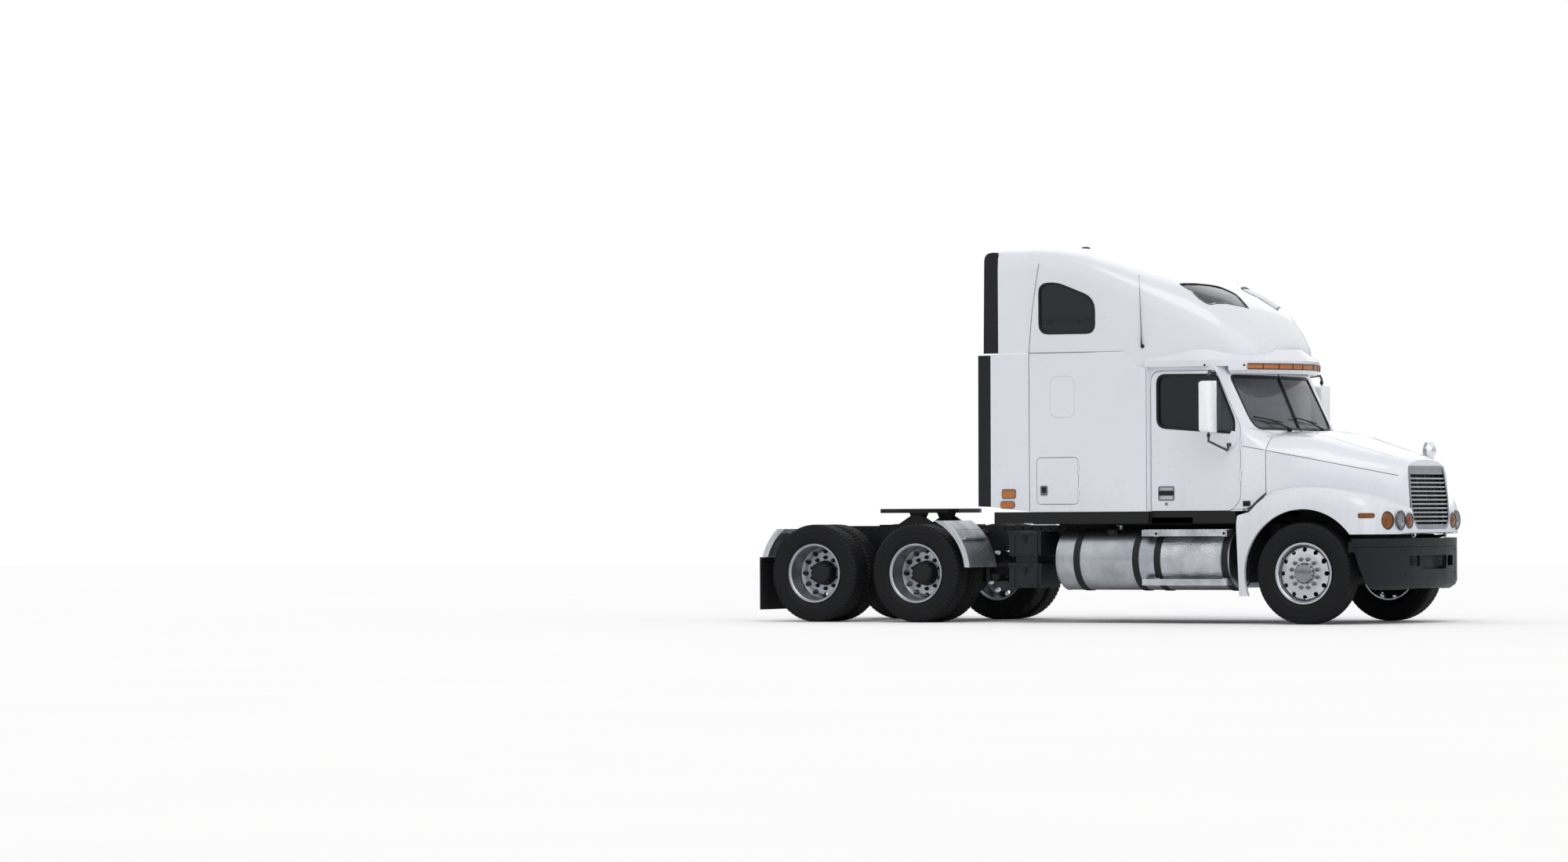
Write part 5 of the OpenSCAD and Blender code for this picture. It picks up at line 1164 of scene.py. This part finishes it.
def shadeSlats(mat):
    # The slat faces stay bright; their undersides and backs are painted black as painted shade between the slats
    tree = mat.node_tree
    shader = tree.nodes["Principled BSDF"]
    normal = addNode(tree, "ShaderNodeNewGeometry").outputs["True Normal"]
    ahead = addNode(tree, "ShaderNodeVectorMath", {0: normal, 1: (0.995, 0.0, 0.096)},
                    operation="DOT_PRODUCT").outputs["Value"]
    flat = Vector((cos(radians(truck["noseLean"])), 0, sin(radians(truck["noseLean"]))))
    start = onNose(0, 0, 0).dot(flat)
    depth = addNode(tree, "ShaderNodeVectorMath", {0: objectSpace(tree), 1: tuple(flat)},
                    operation="DOT_PRODUCT").outputs["Value"]
    fronts = ramped(tree, depth, start - 0.030, start - 0.020)
    factor = mathNode(tree, "MULTIPLY", ramped(tree, ahead, 0.55, 0.8), fronts)
    was = shader.inputs["Base Color"].links[0].from_socket
    # near-black and non-metal where the slats lie in shade: painted shade
    mix = addNode(tree, "ShaderNodeMix", {0: factor, 6: linear("#0d0e10"), 7: was}, data_type="RGBA")
    tree.links.new(mix.outputs[2], shader.inputs["Base Color"])
    tree.links.new(factor, shader.inputs["Metallic"])


shadeSlats(grilleAluminium)


def makeHeadlamps(word, sign):
    bright, lens = bmesh.new(), bmesh.new()
    for i, (x, y, z, size, turn) in enumerate(lampSeats):
        way = Vector((cos(radians(turn)), sign * sin(radians(turn)), 0))
        centre = mm(x, sign * y, z)
        r = size / 2000
        addLathe(bright, [(r - 0.004, 0.002), (r - 0.003, 0.008), (r + 0.004, 0.010), (r + 0.009, 0.006),
                          (r + 0.010, 0.0)], centre, way, 48)
        if i == 1:
            addLathe(bright, [(r - 0.010, 0.003), (r - 0.016, -0.012), (r * 0.62, -0.040), (r * 0.24, -0.062),
                              (0, -0.066)], centre, way, 48)
            addLathe(lens, [(0.013, -0.06), (0.013, -0.030), (0.009, -0.022), (0, -0.02)], centre, way, 16)
    makePiece(word + "LampBezels", bright, bezelSteel, "hood", 40)
    makePiece(word + "LampBulb", lens, clearLens, "hood", 40)


bothSides(makeHeadlamps)


def makeHoodSeams(word, sign):
    bm = bmesh.new()
    crease = [(-457, 1797), (-254, 1756), (-14, 1710), (217, 1661), (437, 1614), (646, 1566), (800, 1529)]
    addSeam(bm, ["hood_shell"], [mm(steerX + x, sign * 1500, z) for x, z in crease], (0, -sign, 0), 0.0032)
    addSeam(bm, ["hood_shell"], [mm(steerX + x, sign * y, 2300) for x,
                                 y in ((690, 455), (560, 470), (300, 510), (0, 560), (-430, 610))], (0, 0,
                                                                                                     -1), 0.0016)
    makePiece(word + "HoodCrease", bm, seamShade, "hood", 60)
    bm = bmesh.new()
    addSeam(bm, ["cab_shell"], [mm(4462, sign * 1500, 1845), mm(4585, sign * 1500, 1820),
                                mm(4690, sign * 1500, 1801)], (0, -sign, 0), 0.003)
    makePiece(word + "CowlCrease", bm, seamShade, "chassis", 60)
    # black louvre in the cowl behind the front wheel
    bm = bmesh.new()
    for k in range(7):
        z = 1184 + k * 14
        spots = []
        for x in (4462, 4500, 4540):
            spot, normal = touch(["cab_shell", "hood_shell", "sill", "side_fairings"], mm(x, sign * 1500, z),
                                 (0, -sign, 0))
            if spot is not None:
                spots.append(spot)
        if len(spots) == 3:
            addTube(bm, spots, 0.0074, 6)
    if bm.verts:
        makePiece(word + "CowlLouvre", bm, trimPlastic, "chassis", 60)
    else:
        bm.free()


seamShade = newMaterial("paintedSeamShade", "#4b4e54", 0.6)[0]
bothSides(makeHoodSeams)


def makeSplashPanel(word, sign):
    bm = bmesh.new()
    loop = soften([(600, 430), (1140, 430), (1146, 900), (1100, 1120), (600, 1120)], [20, 20, 60, 60, 20])
    addPlate(bm, [mm(steerX - 644, sign * a, b) for a, b in loop], (0.004, 0, 0))
    makePiece(word + "SplashPanel", bm, sheetRubber, "hood")


bothSides(makeSplashPanel)


def makeHoodMirrorGlass():
    bm = bmesh.new()
    centre = mm(steerX + 640 - 58, 640, 1795)
    addLathe(bm, [(0.088, -0.004), (0.092, 0.0), (0.086, 0.006), (0.080, 0.003), (0.040, 0.010), (0, 0.012)],
             centre, (-1, 0, 0), 36)
    makePiece("hoodMirrorGlass", bm, mirrorSilver, "hood", 40)


makeHoodMirrorGlass()


def makeBumperTrim():
    bm = bmesh.new()
    groove = 793
    for sign in (-1, 1):
        addSeam(bm, ["bumper"], [mm(6100, sign * y, groove) for y in (20, 300, 600, 760)], (-1, 0, 0), 0.003)
        addSeam(bm, ["bumper"], [mm(x, sign * 1500, groove) for x in (5560, 5700, 5860, 5960)], (0, -sign, 0),
                0.003)
    for sign in (-1, 1):
        addSeam(bm, ["bumper"], [mm(6300, sign * 700, z) for z in (470, 600, 700, 786)], (-1, 0, 0), 0.0026)
    makePiece("bumperSeams", bm, seamBlack, "chassis", 60)
    bm = bmesh.new()
    for sign in (-1, 1):
        for y, z in ((300, 640), (380, 640), (620, 520), (620, 760)):
            spot, normal = touch(["bumper"], mm(6400, sign * y, z), (-1, 0, 0))
            if spot is not None:
                addBolt(bm, spot, normal, 0.018, 0.006)
    makePiece("bumperBolts", bm, springSteel, "chassis", 40)


seamBlack = newMaterial("mouldedSeam", "#0c0d0e", 0.7)[0]
makeBumperTrim()

print("stage: tanks, boxes and fenders")


tankSet = {"y": 880, "z": 668, "radius": 320, "straps": (2555, 3245, 3496, 4276), "stepTops": (466, 978),
           "cap": 2910, "capLean": 28}
lipSet = ((625, 5.4, 57, 646, 668.6), (-625, 15.5, 46.6, 632, 654.6))  # wheel, arc in degrees, radii


def makeTankFittings(word, sign):
    tankY, tankZ, tankR = tankSet["y"], tankSet["z"], tankSet["radius"]
    bm = bmesh.new()
    way = Vector((0, sign * sin(radians(tankSet["capLean"])), cos(radians(tankSet["capLean"]))))
    spot = mm(tankSet["cap"], sign * tankY, tankZ) + way * tankR / 1000
    addLathe(bm, [(0.075, -0.012), (0.075, 0.006), (0.066, 0.010), (0.062, 0.020), (0.060, 0.052), (0.052, 0.060),
                  (0.030, 0.063), (0, 0.063)], spot, way, 36)
    for k in range(14):
        a = 2 * pi * k / 14
        other = way.cross(Vector((1, 0, 0)))
        side = Vector((1, 0, 0)) * cos(a) + other * sin(a)
        addTube(bm, [spot + side * 0.061 + way * 0.02, spot + side * 0.061 + way * 0.052], 0.005, 6)
    makePiece(word + "FillerCap", bm, trimPlastic, "chassis", 35)
    # tooth rows of the grip steps
    bm = bmesh.new()
    for top in tankSet["stepTops"]:
        for x in range(3350, 4290, 26):
            for row in range(4):
                y = 1036 + row * 48 + (x // 26 % 2) * 12
                spot, normal = touch(["tank_steps"], mm(x, sign * y, top + 200), (0, 0, -1))
                if spot is not None and normal.z > 0.9:
                    addLathe(bm, [(0.0075, -0.001), (0.0058, 0.0055), (0.0035, 0.0055), (0.0030, 0.0)], spot,
                             (0, 0, 1), 8)
    if bm.verts:
        makePiece(word + "StepTeeth", bm, treadAluminium, "chassis", 50)
    bm = bmesh.new()
    for x in tankSet["straps"]:
        for angle in (-152, 62):
            a = radians(angle)
            spot = mm(x, sign * (tankY + (tankR + 11) * cos(a)), tankZ + (tankR + 11) * sin(a))
            addBolt(bm, spot, (0, sign * cos(a), sin(a)), 0.022, 0.014)
    for x in (3496, 4276):
        for z in (496, 940):
            spot, normal = touch(["tank_steps"], mm(x, sign * 1500, z), (0, -sign, 0))
            if spot is not None:
                addBolt(bm, spot, normal, 0.020, 0.010)
    makePiece(word + "TankBolts", bm, springSteel, "chassis", 40)
    # welded seams round the tank ends
    bm = bmesh.new()
    for x in (2318, 4294):
        ring = [mm(x, sign * (tankY + (tankR + 0.5) * cos(2 * pi * k / 64)),
                   tankZ + (tankR + 0.5) * sin(2 * pi * k / 64)) for k in range(64)]
        addTube(bm, ring, 0.0035, 6, True)
    makePiece(word + "TankWelds", bm, tankAluminium, "chassis", 60)


bothSides(makeTankFittings)


def makeBoxFittings(word, sign):
    bm = bmesh.new()
    names = ["equipment_boxes"]
    for z in (392, 608, 732, 946):
        for x in (1752, 1840, 1996, 2086):
            spot, normal = touch(names, mm(x, sign * 1500, z), (0, -sign, 0))
            if spot is not None:
                addBolt(bm, spot, normal, 0.016, 0.008)
    for z in (560, 898):
        spot, normal = touch(names, mm(1919, sign * 1500, z), (0, -sign, 0))
        if spot is not None:
            out = Vector((0, sign, 0))
            addBox(bm, spot + Vector((-0.03, 0, -0.014)), spot + Vector((0.03, 0, 0.014)) + out * 0.008)
            addBox(bm, spot + Vector((-0.012, 0, -0.05)), spot + Vector((0.012, 0, 0.03)) + out * 0.014)
    makePiece(word + "BoxBolts", bm, springSteel, "chassis", 40)
    # smooth bright lips of the quarter fenders
    bm = bmesh.new()
    for cx, a0, a1, r0, r1 in lipSet:
        rows = []
        for k in range(25):
            a = radians(a0 + (a1 - a0) * k / 24)
            if cx < 0:
                a = pi - a
            rows.append([bm.verts.new(mm(cx + r * cos(a), sign * y, wheelZ + r * sin(a)))
                         for r, y in ((r1, 1218), (r1 + 1.5, 1226.8), (r1 - 3, 1228.6), (r0, 1228.6),
                                      (r0 - 2, 1226.5), (r0, 1218))])
        for a, b in zip(rows, rows[1:]):
            for i in range(6):
                bm.faces.new((a[i], a[(i + 1) % 6], b[(i + 1) % 6], b[i]))
        bm.faces.new(rows[0])
        bm.faces.new(rows[-1][::-1])
    makePiece(word + "FenderLips", bm, forgedPolish, "chassis", 50)
    bm = bmesh.new()
    for y in (760, 980, 1200):
        spot, normal = touch(["mud_flaps"], mm(-1500, sign * y, 660), (1, 0, 0))
        if spot is not None:
            addBolt(bm, spot, normal, 0.022, 0.010)
    addSeam(bm, ["mud_flaps"], [mm(-1500, sign * 760, 200), mm(-1500, sign * 1200, 200)], (1, 0, 0), 0.004)
    for x in range(-1240, 2200, 110):
        for z in (790, 1000):
            spot, normal = touch(["frame"], mm(x, sign * 700, z), (0, -sign, 0))
            if spot is not None and abs(spot.y) > 0.42:
                addBolt(bm, spot, normal, 0.024, 0.012)
    for y in (-300, -100, 100, 300):
        spot, normal = touch(["frame"], mm(-1700, y, 900), (1, 0, 0))
        if spot is not None:
            addBolt(bm, spot, normal, 0.024, 0.012)
    makePiece(word + "FrameBolts", bm, springSteel, "chassis", 40)


bothSides(makeBoxFittings)


def makeFairingLamps(word, sign):
    out = Vector((0, sign, 0))
    y = sign * 1200.6
    bm = bmesh.new()
    for pad, (xa, xb, za, zb), cornerRadius in ((9, (1685, 1830, 1326, 1404), 16),
                                                (7, (1665, 1820, 1218, 1280), 30)):
        loop = soften([(xa - 4, za - 4), (xb + 4, za - 4), (xb + 4, zb + 4), (xa - 4, zb + 4)], cornerRadius)
        addRing(bm, [mm(a, y, b) for a, b in grow(loop, -3)], [mm(a, y, b) for a, b in grow(loop, pad)],
                out * 0.006)
    makePiece(word + "FairingBezels", bm, boxGrey, "chassis", 40, 0.0015)


boxGrey = newMaterial("mouldedGreyNylon", "#6d7276", 0.5)[0]
bothSides(makeFairingLamps)

print("stage: seats and bunk")


def makeFabric(name, light, dark):
    # Woven trim cloth: crossed threads over a soft mottled dye
    mat, tree, shader = newMaterial(name, light, 0.9, Sheen_Weight=0.3)
    space = objectSpace(tree)
    warp = addNode(tree, "ShaderNodeTexWave", {"Vector": space, "Scale": 160.0, "Distortion": 0.6},
                   bands_direction="X")
    weft = addNode(tree, "ShaderNodeTexWave", {"Vector": space, "Scale": 160.0, "Distortion": 0.6},
                   bands_direction="Z")
    threads = addNode(tree, "ShaderNodeMath", {0: warp.outputs["Fac"], 1: weft.outputs["Fac"]},
                      operation="MULTIPLY")
    mottle = addNode(tree, "ShaderNodeTexNoise", {"Vector": space, "Scale": 7.0, "Detail": 5.0})
    tree.links.new(blendColours(tree, ramped(tree, mottle.outputs[0], 0.3, 0.7), light, dark),
                   shader.inputs["Base Color"])
    addBump(tree, shader, threads.outputs[0], 0.5, 0.0012)
    return mat


seatCloth = makeFabric("wovenSeatCloth", "#3b4046", "#2a2e33")
bunkCloth = makeFabric("wovenBunkCover", "#5b6168", "#474d54")
padSet = {"crown": 0.16, "pinch": 0.012, "cells": 12}


def addPad(name, centre, size, tilt, mat, grooves=0):
    # closed crowned pad: its corners stay, its sides pull in between them, sewn channels run across its top
    bm = bmesh.new()
    bmesh.ops.create_cube(bm, size=2.0)
    bmesh.ops.subdivide_edges(bm, edges=bm.edges, cuts=padSet["cells"], use_grid_fill=True)
    turn = Matrix.Rotation(radians(tilt), 3, "Y")
    for v in bm.verts:
        x, y, z = v.co
        edgeX, edgeY = 1 - abs(x) ** 6, 1 - abs(y) ** 6
        crown = padSet["crown"] * (edgeX * edgeY) ** 0.6
        channel = 0.0
        if grooves:
            channel = 0.10 * max(0.0, 1 - abs(((y + 1) / 2 * grooves) % 1) * 9) if 0.1 < (y + 1) / 2 < 0.9 else 0.0
        z2 = z * (1 - padSet["crown"]) + (crown - channel * edgeX) * (1 if z > 0.9 else -0.2 if z < -0.9 else z)
        pull = padSet["pinch"] * (1 - z * z)
        x2 = x * (0.97 - 0.03 * (1 - edgeY)) + (pull * x)
        y2 = y * (0.97 - 0.03 * (1 - edgeX)) + (pull * y)
        v.co = turn @ Vector((x2 * size[0] / 2, y2 * size[1] / 2, z2 * size[2] / 2)) + centre
    obj = makePiece(name, bm, mat, "chassis", 80, subdivide=1)
    return obj


def makeSeats():
    firm, pads = bmesh.new(), []
    for word, sign in sides:
        y0, y1 = sorted((sign * 330, sign * 730))
        addBox(firm, mm(doorBack + 90, y0, 1212.5), mm(doorBack + 440, y1, 1500))
        pads.append(addPad(word + "SeatCushion", mm(doorBack + 270, sign * 530, 1566), (0.50, 0.48, 0.132), 0,
                           seatCloth, 4))
        pads.append(addPad(word + "SeatBack", mm(doorBack + 42, sign * 530, 1945), (0.76, 0.48, 0.128), 98,
                           seatCloth, 4))
        addPad(word + "HeadRest", mm(doorBack - 22, sign * 530, 2290), (0.15, 0.26, 0.09), 98, seatCloth)
    addBox(firm, mm(2060, -1100, 1214.5), mm(2740, 1100, 1600))
    base = makePiece("seatBases", firm, trimPlastic, "chassis", 35, 0.012)
    pads.append(addPad("bunkMattress", mm(2410, 0, 1677), (0.69, 2.14, 0.148), 0, bunkCloth, 6))
    for piece in [base] + pads:
        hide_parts("seats")


makeSeats()

print("stage: floor")


def makeFloor():
    bm = bmesh.new()
    size, z = 60.0, -0.001
    bm.faces.new([bm.verts.new(p) for p in ((-size, -size, z), (size, -size, z), (size, size, z),
                                            (-size, size, z))])
    mesh = bpy.data.meshes.new("floor")
    bm.to_mesh(mesh)
    bm.free()
    floor = bpy.data.objects.new("floor", mesh)
    bpy.context.scene.collection.objects.link(floor)
    mat, tree, shader = newMaterial("paleStudioFloor", "#f2f2f3", 0.9)
    cloud = addNode(tree, "ShaderNodeTexNoise", {"Vector": objectSpace(tree), "Scale": 0.4, "Detail": 2.0})
    tree.links.new(blendColours(tree, cloud.outputs[0], "#ffffff", "#fcfcfd"), shader.inputs["Base Color"])
    mesh.materials.append(mat)


makeFloor()
